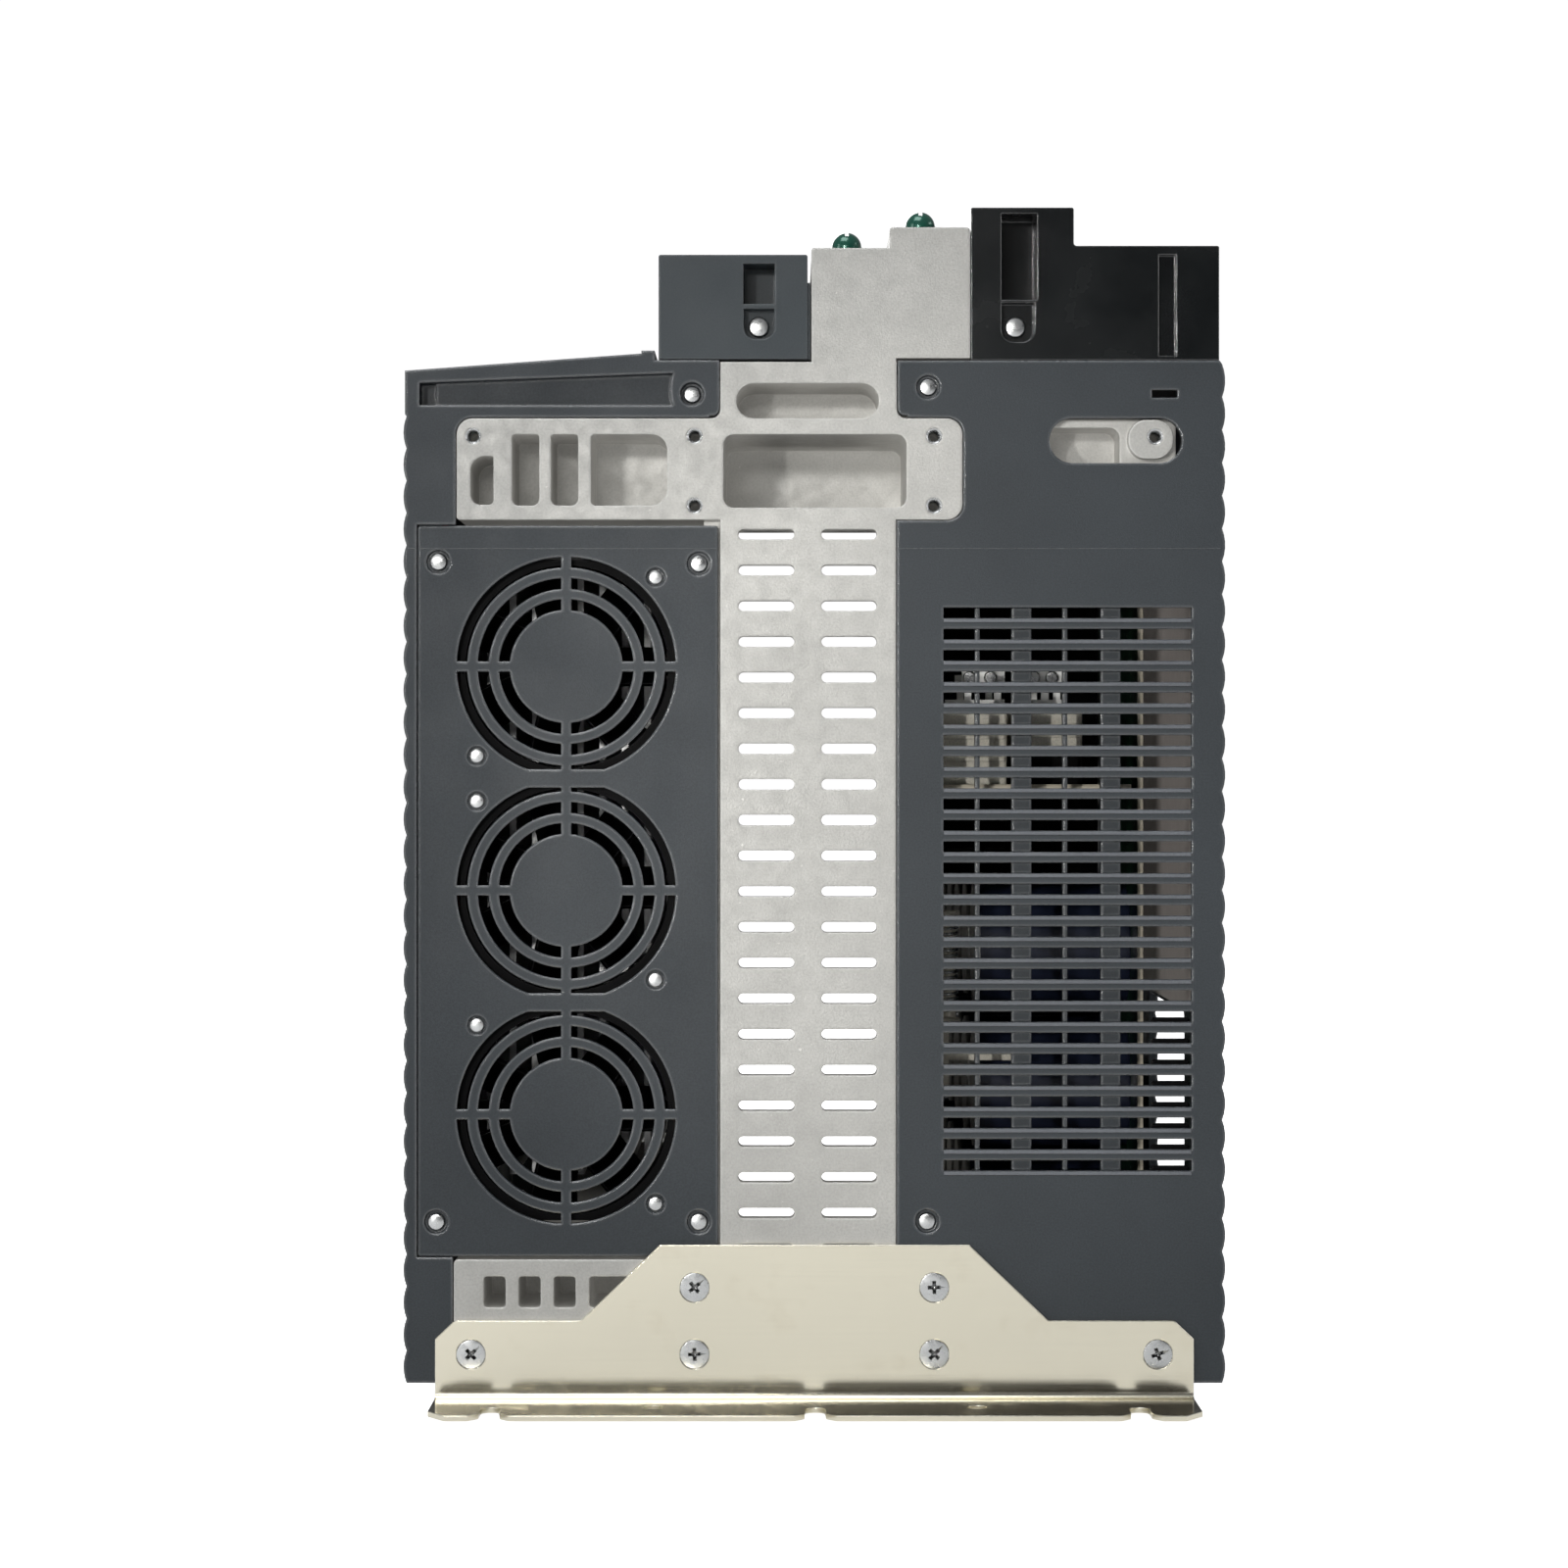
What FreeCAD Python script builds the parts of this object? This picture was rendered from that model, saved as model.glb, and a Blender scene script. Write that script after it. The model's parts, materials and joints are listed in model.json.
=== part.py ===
import FreeCAD, Part
import math
import os
import Sketcher
from FreeCAD import Vector, Placement, Rotation

# Industrial servo drive / frequency inverter, book-style wall unit lying on its back.
# Frame: origin in the middle of the mounting plane, +Z out of the wall plane towards
# the operator side, -Y the air-inlet end, +X to the right of that end. "Near" is the
# air-inlet end at -Y, "far" the outlet end at +Y; "front" is the operator side at +Z.
# A die-cast aluminium chassis with a central air chimney carries two plastic
# housings: fans, heat sink and power stage on the left, DC link on the right.

doc = FreeCAD.newDocument("drive_unit")
sheet = doc.addObject("Spreadsheet::Sheet", "dims")

# alias, value, note
DIMS = [
    ("half_length", 180.0, "half of the chassis length along Y"),
    ("half_width", 115.0, "half of the overall width"),
    ("front_level", 291.6, "level of the front face above the mounting plane"),
    ("back_level", 5.5, "level of the housings' backs"),
    ("wall", 2.5, "plastic wall"),
    ("flange_depth", 31.0, "depth of the casting's end flanges"),
    ("pocket_depth", 50.0, "depth of the large cast pocket"),
    ("small_pocket_depth", 28.5, "depth of the small cast pockets"),
    ("flange_low", 247.1, "lower edge of the upper end flange"),
    ("flange_high", 275.4, "upper edge of the upper end flange"),
    ("duct_left", -31.0, "outside of the chimney, left"),
    ("duct_right", 30.5, "outside of the chimney, right"),
    ("duct_floor", 2.5, "back of the chimney"),
    ("duct_roof", 276.0, "front of the chimney"),
    ("duct_skin", 2.5, "wall of the chimney"),
    ("slot_pitch", 10.0, "pitch of the inlet slots"),
    ("slot_high", 2.9, "height of an inlet slot"),
    ("slot_rows", 21, "rows of inlet slots"),
    ("outlet_pitch", 13.6, "pitch of the outlet windows"),
    ("outlet_rows", 20, "rows of outlet windows"),
    ("tap_radius", 1.65, "M4 tapping hole radius"),
    ("tap_rim", 2.25, "rim radius of the tapped holes"),
    ("sink_rim", 2.7, "rim radius under the countersunk bracket screws"),
    ("tap_depth", 14.0, "depth of the tapped holes"),
    ("sheet_thick", 1.5, "bracket sheet"),
    ("bracket_half", 106.0, "half width of a bracket"),
    ("bracket_reach", 209.5, "end of a bracket flange along Y"),
    ("head_radius", 4.1, "M4 countersunk head radius"),
    ("head_high", 2.1, "M4 countersunk head height"),
    ("shank_radius", 1.6, "M4 shank radius inside its thread"),
    ("shank_long", 11.0, "M4 shank length"),
    ("fan_size", 60.0, "square fan frame"),
    ("fan_depth", 25.0, "fan frame depth"),
    ("fan_x", -69.5, "fan axis"),
    ("fan_top", 206.0, "level of the first fan axis"),
    ("fan_pitch", 62.7, "pitch of the fans"),
    ("fan_holes", 25.0, "half of the fan hole pitch"),
    ("fan_bore", 28.4, "radius of the fan tunnel"),
    ("fan_face", -176.6, "inlet face of the fan frames"),
    ("rotor_hub", 13.5, "rotor hub radius"),
    ("rotor_tip", 27.2, "rotor blade tip radius"),
    ("blade_count", 7, "blades on a rotor"),
    ("axle_radius", 1.5, "rotor axle radius"),
    ("axle_gap", 0.05, "radial running clearance"),
    ("cover_thick", 2.5, "fan cover plate"),
    ("spoke_wide", 2.8, "grille spoke"),
    ("fin_pitch", 6.5, "heat sink fin pitch"),
    ("fin_thick", 2.0, "heat sink fin"),
    ("fin_count", 10, "heat sink fins"),
    ("louvre_pitch", 5.95, "louvre pitch"),
    ("louvre_gap", 3.0, "louvre opening"),
    ("louvre_count", 27, "louvre openings"),
    ("board_thick", 1.6, "printed board"),
    ("cap_radius", 17.5, "DC-link capacitor radius"),
    ("cap_long", 45.0, "DC-link capacitor length"),
    ("door_thick", 2.2, "control door plate and radius of its hinge barrel"),
    ("pin_radius", 1.0, "door hinge pin radius"),
    ("button_radius", 4.5, "push button radius"),
    ("scallop_pitch", 9.16, "pitch of the grip ribs on the outer walls"),
    ("scallop_deep", 0.87, "depth of the grip ribs"),
]
dim = {}
for row, (alias, value, note) in enumerate(DIMS, start=1):
    sheet.set("A%d" % row, str(value))
    sheet.setAlias("A%d" % row, alias)
    sheet.set("B%d" % row, note)
    dim[alias] = float(value)
doc.recompute()

# Expressions for the two end faces
NEAR = "-dims.half_length"
FAR = "dims.half_length"

pieces = []


def set_or_bind(obj, prop, value):
    """Set a property, or bind it when the value is an expression."""
    if isinstance(value, str):
        obj.setExpression(prop, value)
    else:
        setattr(obj, prop, value)


def minus(a, b):
    """Difference of two numbers or expressions."""
    if isinstance(a, str) or isinstance(b, str):
        return "(%s) - (%s)" % (a, b)
    return a - b


# ---------------------------------------------------------------- sketch loops
# Sketch coordinates are (x, z) across Y, (y, z) across X and (x, y) across Z.
def rect(x0, y0, x1, y1):
    """Rectangle whose sides may be numbers or expressions."""
    return ("rect", x0, y0, x1, y1)


def circle(x, y, radius):
    return ("circle", x, y, radius)


def circles(points, radius):
    return [circle(x, y, radius) for x, y in points]


def path(edges):
    return ("path", edges)


def lines(points):
    """Straight edges through a run of (x, y) points."""
    run = [Vector(x, y, 0) for x, y in points]
    return [("line", start, end) for start, end in zip(run, run[1:])]


def arc(start, middle, end):
    return ("arc", Vector(*start, 0), Vector(*middle, 0), Vector(*end, 0))


def poly(points):
    """Closed loop from (x, y) or (x, y, corner radius) points."""
    count = len(points)
    corners = []
    for i in range(count):
        corner = Vector(points[i][0], points[i][1], 0)
        radius = points[i][2] if len(points[i]) > 2 else 0.0
        if radius <= 0:
            corners.append((corner, corner, None))
            continue
        before = Vector(points[i - 1][0], points[i - 1][1], 0) - corner
        after = Vector(points[(i + 1) % count][0], points[(i + 1) % count][1], 0) - corner
        before.normalize()
        after.normalize()
        half = math.acos(max(-1, min(1, before.dot(after)))) / 2
        setback = radius / math.tan(half)
        bisector = before + after
        bisector.normalize()
        centre = corner + bisector * (radius / math.sin(half))
        middle = centre + (corner - centre).normalize() * radius
        corners.append((corner + before * setback, corner + after * setback, middle))
    edges = []
    for i in range(count):
        start, end, middle = corners[i]
        if middle is not None:
            edges.append(("arc", start, middle, end))
        following = corners[(i + 1) % count][0]
        if (following - end).Length > 1e-6:
            edges.append(("line", end, following))
    return path(edges)


def round_rect(x0, y0, x1, y1, radius):
    return poly([(x0, y0, radius), (x1, y0, radius), (x1, y1, radius), (x0, y1, radius)])


def stadium(x0, y0, x1, y1):
    """Slot with round ends; the radius stays a hair short of half the width."""
    return round_rect(x0, y0, x1, y1, min(x1 - x0, y1 - y0) / 2 - 1e-4)


def add_circle(sk, x, y, radius):
    bound = isinstance(radius, str)
    ring = Part.Circle(Vector(x, y, 0), Vector(0, 0, 1), 1.0 if bound else radius)
    first = sk.addGeometry(ring, False)
    if bound:
        index = sk.addConstraint(Sketcher.Constraint("Radius", first, 1.0))
        sk.setExpression("Constraints[%d]" % index, radius)
        sk.addConstraint(Sketcher.Constraint("DistanceX", -1, 1, first, 3, x))
        sk.addConstraint(Sketcher.Constraint("DistanceY", -1, 1, first, 3, y))


def add_rect(sk, x0, y0, x1, y1):
    first = sk.GeometryCount
    # bound sides start from a rough position until the solver moves them
    guess = [7.0 + 9.0 * i if isinstance(side, str) else side
             for i, side in enumerate((x0, y0, x1, y1))]
    corners = [Vector(guess[0], guess[1], 0), Vector(guess[2], guess[1], 0),
               Vector(guess[2], guess[3], 0), Vector(guess[0], guess[3], 0)]
    for i in range(4):
        sk.addGeometry(Part.LineSegment(corners[i], corners[(i + 1) % 4]), False)
    for i in range(4):
        sk.addConstraint(Sketcher.Constraint("Coincident", first + i, 2,
                                             first + (i + 1) % 4, 1))
    for i, word in enumerate(("Horizontal", "Vertical", "Horizontal", "Vertical")):
        sk.addConstraint(Sketcher.Constraint(word, first + i))
    for word, line, value, start in (("DistanceX", first, x0, guess[0]),
                                     ("DistanceY", first, y0, guess[1]),
                                     ("DistanceX", first + 2, x1, guess[2]),
                                     ("DistanceY", first + 2, y1, guess[3])):
        index = sk.addConstraint(Sketcher.Constraint(word, -1, 1, line, 1, start))
        if isinstance(value, str):
            sk.setExpression("Constraints[%d]" % index, value)


def add_path(sk, edges):
    ends = []  # geometry index, start vertex, end vertex
    for edge in edges:
        if edge[0] == "line":
            ends.append((sk.addGeometry(Part.LineSegment(edge[1], edge[2]), False), 1, 2))
        else:
            start, middle, end = edge[1:]
            index = sk.addGeometry(Part.Arc(start, middle, end), False)
            # a sketch arc always runs anticlockwise, so a clockwise one swaps its ends
            anticlockwise = (middle - start).cross(end - middle).z > 0
            ends.append((index, 1, 2) if anticlockwise else (index, 2, 1))
    for i, (index, _, end) in enumerate(ends):
        following, start, _ = ends[(i + 1) % len(ends)]
        sk.addConstraint(Sketcher.Constraint("Coincident", index, end, following, start))


ADD_LOOP = {"circle": add_circle, "rect": add_rect, "path": add_path}

# ------------------------------------------------------------- body features
# origin plane across each axis, and whether its normal runs along or against the axis
PLANES = {"x": ("YZ_Plane", 1), "y": ("XZ_Plane", -1), "z": ("XY_Plane", 1)}


def body(name):
    return doc.addObject("PartDesign::Body", name)


def origin_feature(owner, role):
    return [o for o in owner.Origin.OriginFeatures if o.Role == role][0]


def sketch(owner, name, axis, at, loops):
    role, sign = PLANES[axis]
    sk = owner.newObject("Sketcher::SketchObject", name + "_sketch")
    sk.AttachmentSupport = [(origin_feature(owner, role), "")]
    sk.MapMode = "FlatFace"
    if isinstance(at, str):
        sk.AttachmentOffset = Placement(Vector(0, 0, 0), Rotation())
        sk.setExpression("AttachmentOffset.Base.z", at if sign > 0 else "-(%s)" % at)
    else:
        sk.AttachmentOffset = Placement(Vector(0, 0, sign * at), Rotation())
    for loop in loops:
        ADD_LOOP[loop[0]](sk, *loop[1:])
    return sk


def pad(owner, name, axis, low, high, loops):
    """Material from low to high along an axis."""
    profile = sketch(owner, name, axis, low, loops)
    feature = owner.newObject("PartDesign::Pad", name)
    feature.Profile = profile
    set_or_bind(feature, "Length", minus(high, low))
    feature.Reversed = axis == "y"
    feature.Refine = False
    return feature


def cut(owner, name, axis, low, high, loops):
    """Material away from low to high along an axis."""
    profile = sketch(owner, name, axis, low if axis == "y" else high, loops)
    feature = owner.newObject("PartDesign::Pocket", name)
    feature.Profile = profile
    set_or_bind(feature, "Length", minus(high, low))
    feature.Refine = False
    return feature


def pattern(owner, name, originals, axis, step, count):
    """Repeat features along an axis."""
    feature = owner.newObject("PartDesign::LinearPattern", name)
    feature.Originals = originals
    feature.Direction = (origin_feature(owner, axis.upper() + "_Axis"), [""])
    feature.Mode = "Spacing"
    set_or_bind(feature, "Offset", step)
    set_or_bind(feature, "Occurrences", count)
    feature.Refine = False
    owner.Tip = feature


def polar(owner, name, originals, axis, count):
    """Repeat features in a full circle about an axis."""
    feature = owner.newObject("PartDesign::PolarPattern", name)
    feature.Originals = originals
    feature.Axis = (origin_feature(owner, axis.upper() + "_Axis"), [""])
    feature.Angle = 360
    set_or_bind(feature, "Occurrences", count)
    feature.Refine = False
    owner.Tip = feature


# ------------------------------------------------------------ primitive helpers
AXES = {"x": Vector(1, 0, 0), "y": Vector(0, 1, 0), "z": Vector(0, 0, 1),
        "-y": Vector(0, -1, 0)}
INWARD = {-1: "y", 1: "-y"}  # direction into the unit from the near and the far end


def seat(obj, at, axis="z"):
    """Place an object at a point, its own Z along an axis."""
    base = [0 if isinstance(value, str) else value for value in at]
    obj.Placement = Placement(Vector(*base), Rotation(Vector(0, 0, 1), AXES[axis]))
    for word, value in zip("xyz", at):
        if isinstance(value, str):
            obj.setExpression("Placement.Base." + word, value)


def box(name, low, high):
    obj = doc.addObject("Part::Box", name)
    for prop, start, end in zip(("Length", "Width", "Height"), low, high):
        set_or_bind(obj, prop, minus(end, start))
    seat(obj, low)
    return obj


def cyl(name, at, axis, radius, length):
    obj = doc.addObject("Part::Cylinder", name)
    set_or_bind(obj, "Radius", radius)
    set_or_bind(obj, "Height", length)
    seat(obj, at, axis)
    return obj


def cone(name, at, axis, start_radius, end_radius, length):
    obj = doc.addObject("Part::Cone", name)
    set_or_bind(obj, "Radius1", start_radius)
    set_or_bind(obj, "Radius2", end_radius)
    set_or_bind(obj, "Height", length)
    seat(obj, at, axis)
    return obj


def fuse(name, parts):
    obj = doc.addObject("Part::MultiFuse", name)
    obj.Shapes = parts
    return obj


def subtract(name, base, tool):
    obj = doc.addObject("Part::Cut", name)
    obj.Base = base
    obj.Tool = tool
    return obj


def piece(obj):
    """List an object for export under its label."""
    if obj.TypeId == "PartDesign::Body":
        obj.Tip.Refine = True
    pieces.append(obj)


def group_piece(name, parts):
    obj = doc.addObject("Part::Compound", name)
    obj.Links = parts
    piece(obj)


def pan_screws(name, rows):
    """Pan-head screws along Y, from rows of
    x, y under the head, z, head radius, head height, shank radius, shank length."""
    screws = []
    for i, (x, y, z, head_radius, head_high, shank_radius, shank_long) in enumerate(rows):
        tag = "%s_%d" % (name, i)
        side = -1 if y < 0 else 1
        axis = INWARD[side]
        top = y + side * head_high
        head = cyl("pan_" + tag, (x, top, z), axis, head_radius, head_high)
        rounded = doc.addObject("Part::Fillet", "pan_round_" + tag)
        rounded.Base = head
        doc.recompute()
        rim = [index for index, edge in enumerate(head.Shape.Edges, start=1)
               if len(edge.Vertexes) == 1 and abs(edge.CenterOfMass.y - top) < 0.01]
        rounded.Edges = [(rim[0], head_high * 0.6, head_high * 0.6)]
        # the shank starts inside the head so that the two fuse
        shank = cyl("pan_shank_" + tag, (x, y + side * 0.2, z), axis, shank_radius, shank_long)
        screws.append(fuse("pan_screw_" + tag, [rounded, shank]))
    group_piece(name, screws)


# ============================================================== shared positions
half_length = dim["half_length"]
half_width = dim["half_width"]
front_level = dim["front_level"]
back_level = dim["back_level"]

# (x, z) of the M4 holes in both end faces of the casting
BRACKET_HOLES = [(-96.0, 13.7), (-33.5, 13.7), (33.5, 13.7), (96.0, 13.7),
                 (-33.5, 32.4), (33.5, 32.4)]
UPPER_HOLES = [(-95.5, 270.5), (-33.5, 270.5), (-33.5, 251.0), (33.5, 270.5), (33.5, 251.0),
               (95.4, 270.3)]

# (x, z) of the screws that hold the housings, on the near and the far end
LEFT_TOP = (-34.3, 282.3)
RIGHT_TOP = (31.8, 284.2)
RIGHT_LOW = (31.5, 50.7)
RIGHT_TOP_FAR = (33.4, 284.2)
RIGHT_LOW_FAR = (37.0, 60.0)

# (x, z) of the fan cover screws: two in housing posts, two in the chassis
COVER_POSTS = [(-105.3, 235.3), (-105.9, 50.5)]
COVER_HIGH = (-32.4, 234.8)
COVER_LOW = (-32.4, 50.5)
COVER_SCREWS = [COVER_POSTS[0], COVER_HIGH, COVER_POSTS[1], COVER_LOW]

GRILLE_SCREWS = [(-107.2, 64.5), (-107.2, 226.5)]  # (x, z) on the outlet grille

# earth terminals: x, level of the face the screw sits on
EARTH_TERMINALS = [(9.15, 323.1), (29.9, 328.9)]
EARTH_Y = -170.5

# fans from the top down: tag, level as an expression, level
FANS = [(tag, "dims.fan_top - %d * dims.fan_pitch" % i, dim["fan_top"] - i * dim["fan_pitch"])
        for i, tag in enumerate(("top", "middle", "bottom"))]

# ======================================================================= chassis
neck_left, neck_right, neck_front = -26.3, 23.0, 291.2
flange_end = NEAR + " + dims.flange_depth"
flange_start_far = FAR + " - dims.flange_depth"
small_pocket_end = NEAR + " + dims.small_pocket_depth"


def air_channels(low, high):
    """The two air channels either side of the dividing wall."""
    return [rect("dims.duct_left + dims.duct_skin", low, -2.5, high),
            rect(0.5, low, "dims.duct_right - dims.duct_skin", high)]


chassis = body("chassis")
pad(chassis, "chimney", "y", NEAR + " + 3.5", FAR,
    [rect("dims.duct_left", "dims.duct_floor", "dims.duct_right", "dims.duct_roof")])
pad(chassis, "inlet_plate", "y", NEAR, NEAR + " + 4", [rect(neck_left, 8.5, 22.8, 275.0)])
cut(chassis, "channels", "y", NEAR + " + 5.5", FAR + " - 4",
    air_channels(5.5, "dims.flange_low"))
cut(chassis, "channels_high", "y", NEAR + " + dims.pocket_depth + 3", FAR + " - 4",
    air_channels("dims.flange_low - 1", "dims.duct_roof - 3"))
# upper flange with the neck, one outline
pad(chassis, "upper_flange", "y", NEAR, flange_end, [poly([
    (-100.1, 247.1, 0.8), (41.4, 247.1, 4.4), (41.4, 275.4, 4.4), (neck_right, 275.4, 2.7),
    (neck_right, neck_front), (neck_left, neck_front), (neck_left, 275.4, 2.7),
    (-100.1, 275.4, 4.4)])])
pad(chassis, "neck", "y", -153, -116, [rect(neck_left, 274.5, neck_right, neck_front)])
pad(chassis, "flange_wing", "y", -176, flange_end, [rect(38, 250.0, 101.5, "dims.flange_high")])
pad(chassis, "wing_boss", "y", NEAR, -170, [round_rect(87.9, 264.2, 100.3, 275.0, 5.0)])
pad(chassis, "lower_flange", "y", NEAR, flange_end, [poly([
    (-100.9, 8.5), (100.0, 8.5), (100.0, 21.0), (42.0, 21.0), (42.0, 40.0),
    (-100.9, 40.0, 1.2)])])
# block for the protective-earth terminals
pad(chassis, "earth_block", "y", NEAR, -118, [poly([
    (-0.8, 290.0), (22.9, 290.0), (22.9, 292.3), (43.6, 292.3), (43.6, 328.9, 0.8),
    (21.1, 328.9, 0.8), (21.1, 323.1), (-0.8, 323.1, 0.8)])])
cut(chassis, "earth_core", "y", -172, -118,
    [rect(3.2, 295.5, 17.1, 319.1), rect(25.1, 296.3, 39.6, 324.9)])
# ears for the cover screws
pad(chassis, "ears_top", "y", -169.5, -152,
    [rect(-39.0, 275.0, -26.0, 287.0), rect(22.8, 275.0, 37.0, 288.8)])
pad(chassis, "ears_low", "y", -176.5, -160,
    [rect(30.0, 44.0, 37.0, 57.5), rect(-37.0, 44.0, -30.5, 57.5),
     rect(-37.0, 228.5, -30.5, 241.5)])
pad(chassis, "ears_top_far", "y", 152, 169.5,
    [rect(-39.0, 275.0, -30.0, 287.0), rect(29.0, 275.0, 37.0, 288.8)])
pad(chassis, "ear_low_far", "y", 163, 177, [rect(30.0, 54.0, 43.0, 66.0)])
# far-end wings, open between them for the outlet windows
pad(chassis, "upper_flange_far", "y", flange_start_far, FAR,
    [rect(-100.1, "dims.flange_low", -29.5, "dims.flange_high"),
     rect(29.5, "dims.flange_low", 101.5, "dims.flange_high")])
pad(chassis, "lower_flange_far", "y", flange_start_far, FAR,
    [rect(-100.9, 8.5, -29.5, 40.0), rect(29.5, 8.5, 100.0, 40.0)])
# cast pockets of the near end
cut(chassis, "pocket_neck", "y", NEAR, small_pocket_end, [stadium(-21.9, 275.4, 18.1, 285.3)])
cut(chassis, "pocket_main", "y", NEAR, NEAR + " + dims.pocket_depth",
    [round_rect(-25.5, 250.4, 25.8, 271, 3)])
cut(chassis, "pockets_left", "y", NEAR, small_pocket_end,
    [poly([(-62.6, 251, 1.5), (-41.2, 251, 5), (-41.2, 271, 4.4), (-62.6, 271, 1)]),
     poly([(-84.7, 251, 2), (-77.0, 251, 2), (-77.0, 271, 1), (-84.7, 271, 1)]),
     poly([(-73.8, 251, 2), (-66.1, 251, 2), (-66.1, 271, 1), (-73.8, 271, 1)]),
     poly([(-96.3, 251.2, 3), (-89.8, 251.2, 1.5), (-89.8, 264.9, 0.6), (-96.3, 264.9, 4)])])
cut(chassis, "pocket_wing", "y", -176, -160, [round_rect(60.0, 254, 85.8, 273.2, 3)])
cut(chassis, "windows_low", "y", NEAR, small_pocket_end,
    [round_rect(left, 26.6, right, 35.3, 1.1)
     for left, right in ((-92.6, -86.4), (-82.8, -76.6), (-73.0, -66.8), (-63.0, -42.0))])
cut(chassis, "pockets_far", "y", FAR + " - dims.small_pocket_depth", FAR,
    [round_rect(left, 251, right, 271, 1)
     for left, right in ((-62.9, -41.3), (-89.8, -66.1), (41.3, 62.9), (66.1, 89.8))]
    + [rect(-88.0, 16.0, -44.0, 35.3), rect(44.0, 16.0, 88.0, 35.3)])
# tapped M4 holes with a turned rim, the same on both ends
rims = circles(UPPER_HOLES, "dims.tap_rim") + circles(BRACKET_HOLES, "dims.sink_rim")
taps = circles(UPPER_HOLES + BRACKET_HOLES, "dims.tap_radius")
cut(chassis, "rims", "y", NEAR, NEAR + " + 0.8", rims)
cut(chassis, "taps", "y", NEAR, NEAR + " + dims.tap_depth", taps)
cut(chassis, "rims_far", "y", FAR + " - 0.8", FAR, rims)
cut(chassis, "taps_far", "y", FAR + " - dims.tap_depth", FAR, taps)
# threads of the cover screws
cover_tap = 1.3
cut(chassis, "cover_taps", "y", -169.5, -158, circles([LEFT_TOP, RIGHT_TOP], cover_tap))
cut(chassis, "cover_taps_low", "y", -176.5, -164,
    circles([RIGHT_LOW, COVER_LOW, COVER_HIGH], cover_tap))
cut(chassis, "cover_taps_far", "y", 158, 169.5, circles([LEFT_TOP, RIGHT_TOP_FAR], cover_tap))
cut(chassis, "cover_tap_low_far", "y", 167, 177, circles([RIGHT_LOW_FAR], cover_tap))
# earth terminal threads, from the front
for tag, (x, face), low, high in (("left", EARTH_TERMINALS[0], 313, 323.2),
                                  ("right", EARTH_TERMINALS[1], 318, 329.0)):
    cut(chassis, "earth_tap_" + tag, "z", low, high, [circle(x, EARTH_Y, 2.05)])
# inlet slots and outlet windows
slot_low = 41.55
slot_top = slot_low + dim["slot_high"]
slots = cut(chassis, "inlet_slots", "y", NEAR, NEAR + " + 5.6",
            [stadium(-21.3, slot_low, -5.6, slot_top), stadium(2.0, slot_low, 17.5, slot_top)])
pattern(chassis, "inlet_rows", [slots], "z", "dims.slot_pitch", "dims.slot_rows")
windows = cut(chassis, "outlet_windows", "y", FAR + " - 4.1", FAR,
              [round_rect(-27.0, 5.7, -4.2, 14.1, 1), round_rect(5.0, 5.7, 27.5, 14.1, 1)])
pattern(chassis, "outlet_rows", [windows], "z", "dims.outlet_pitch", "dims.outlet_rows")
piece(chassis)

# ====================================================================== brackets
sheet_thick = dim["sheet_thick"]
bend_inside = 1.5
leaf_top = 44.3
DIAGONAL = math.sqrt(0.5)


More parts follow.
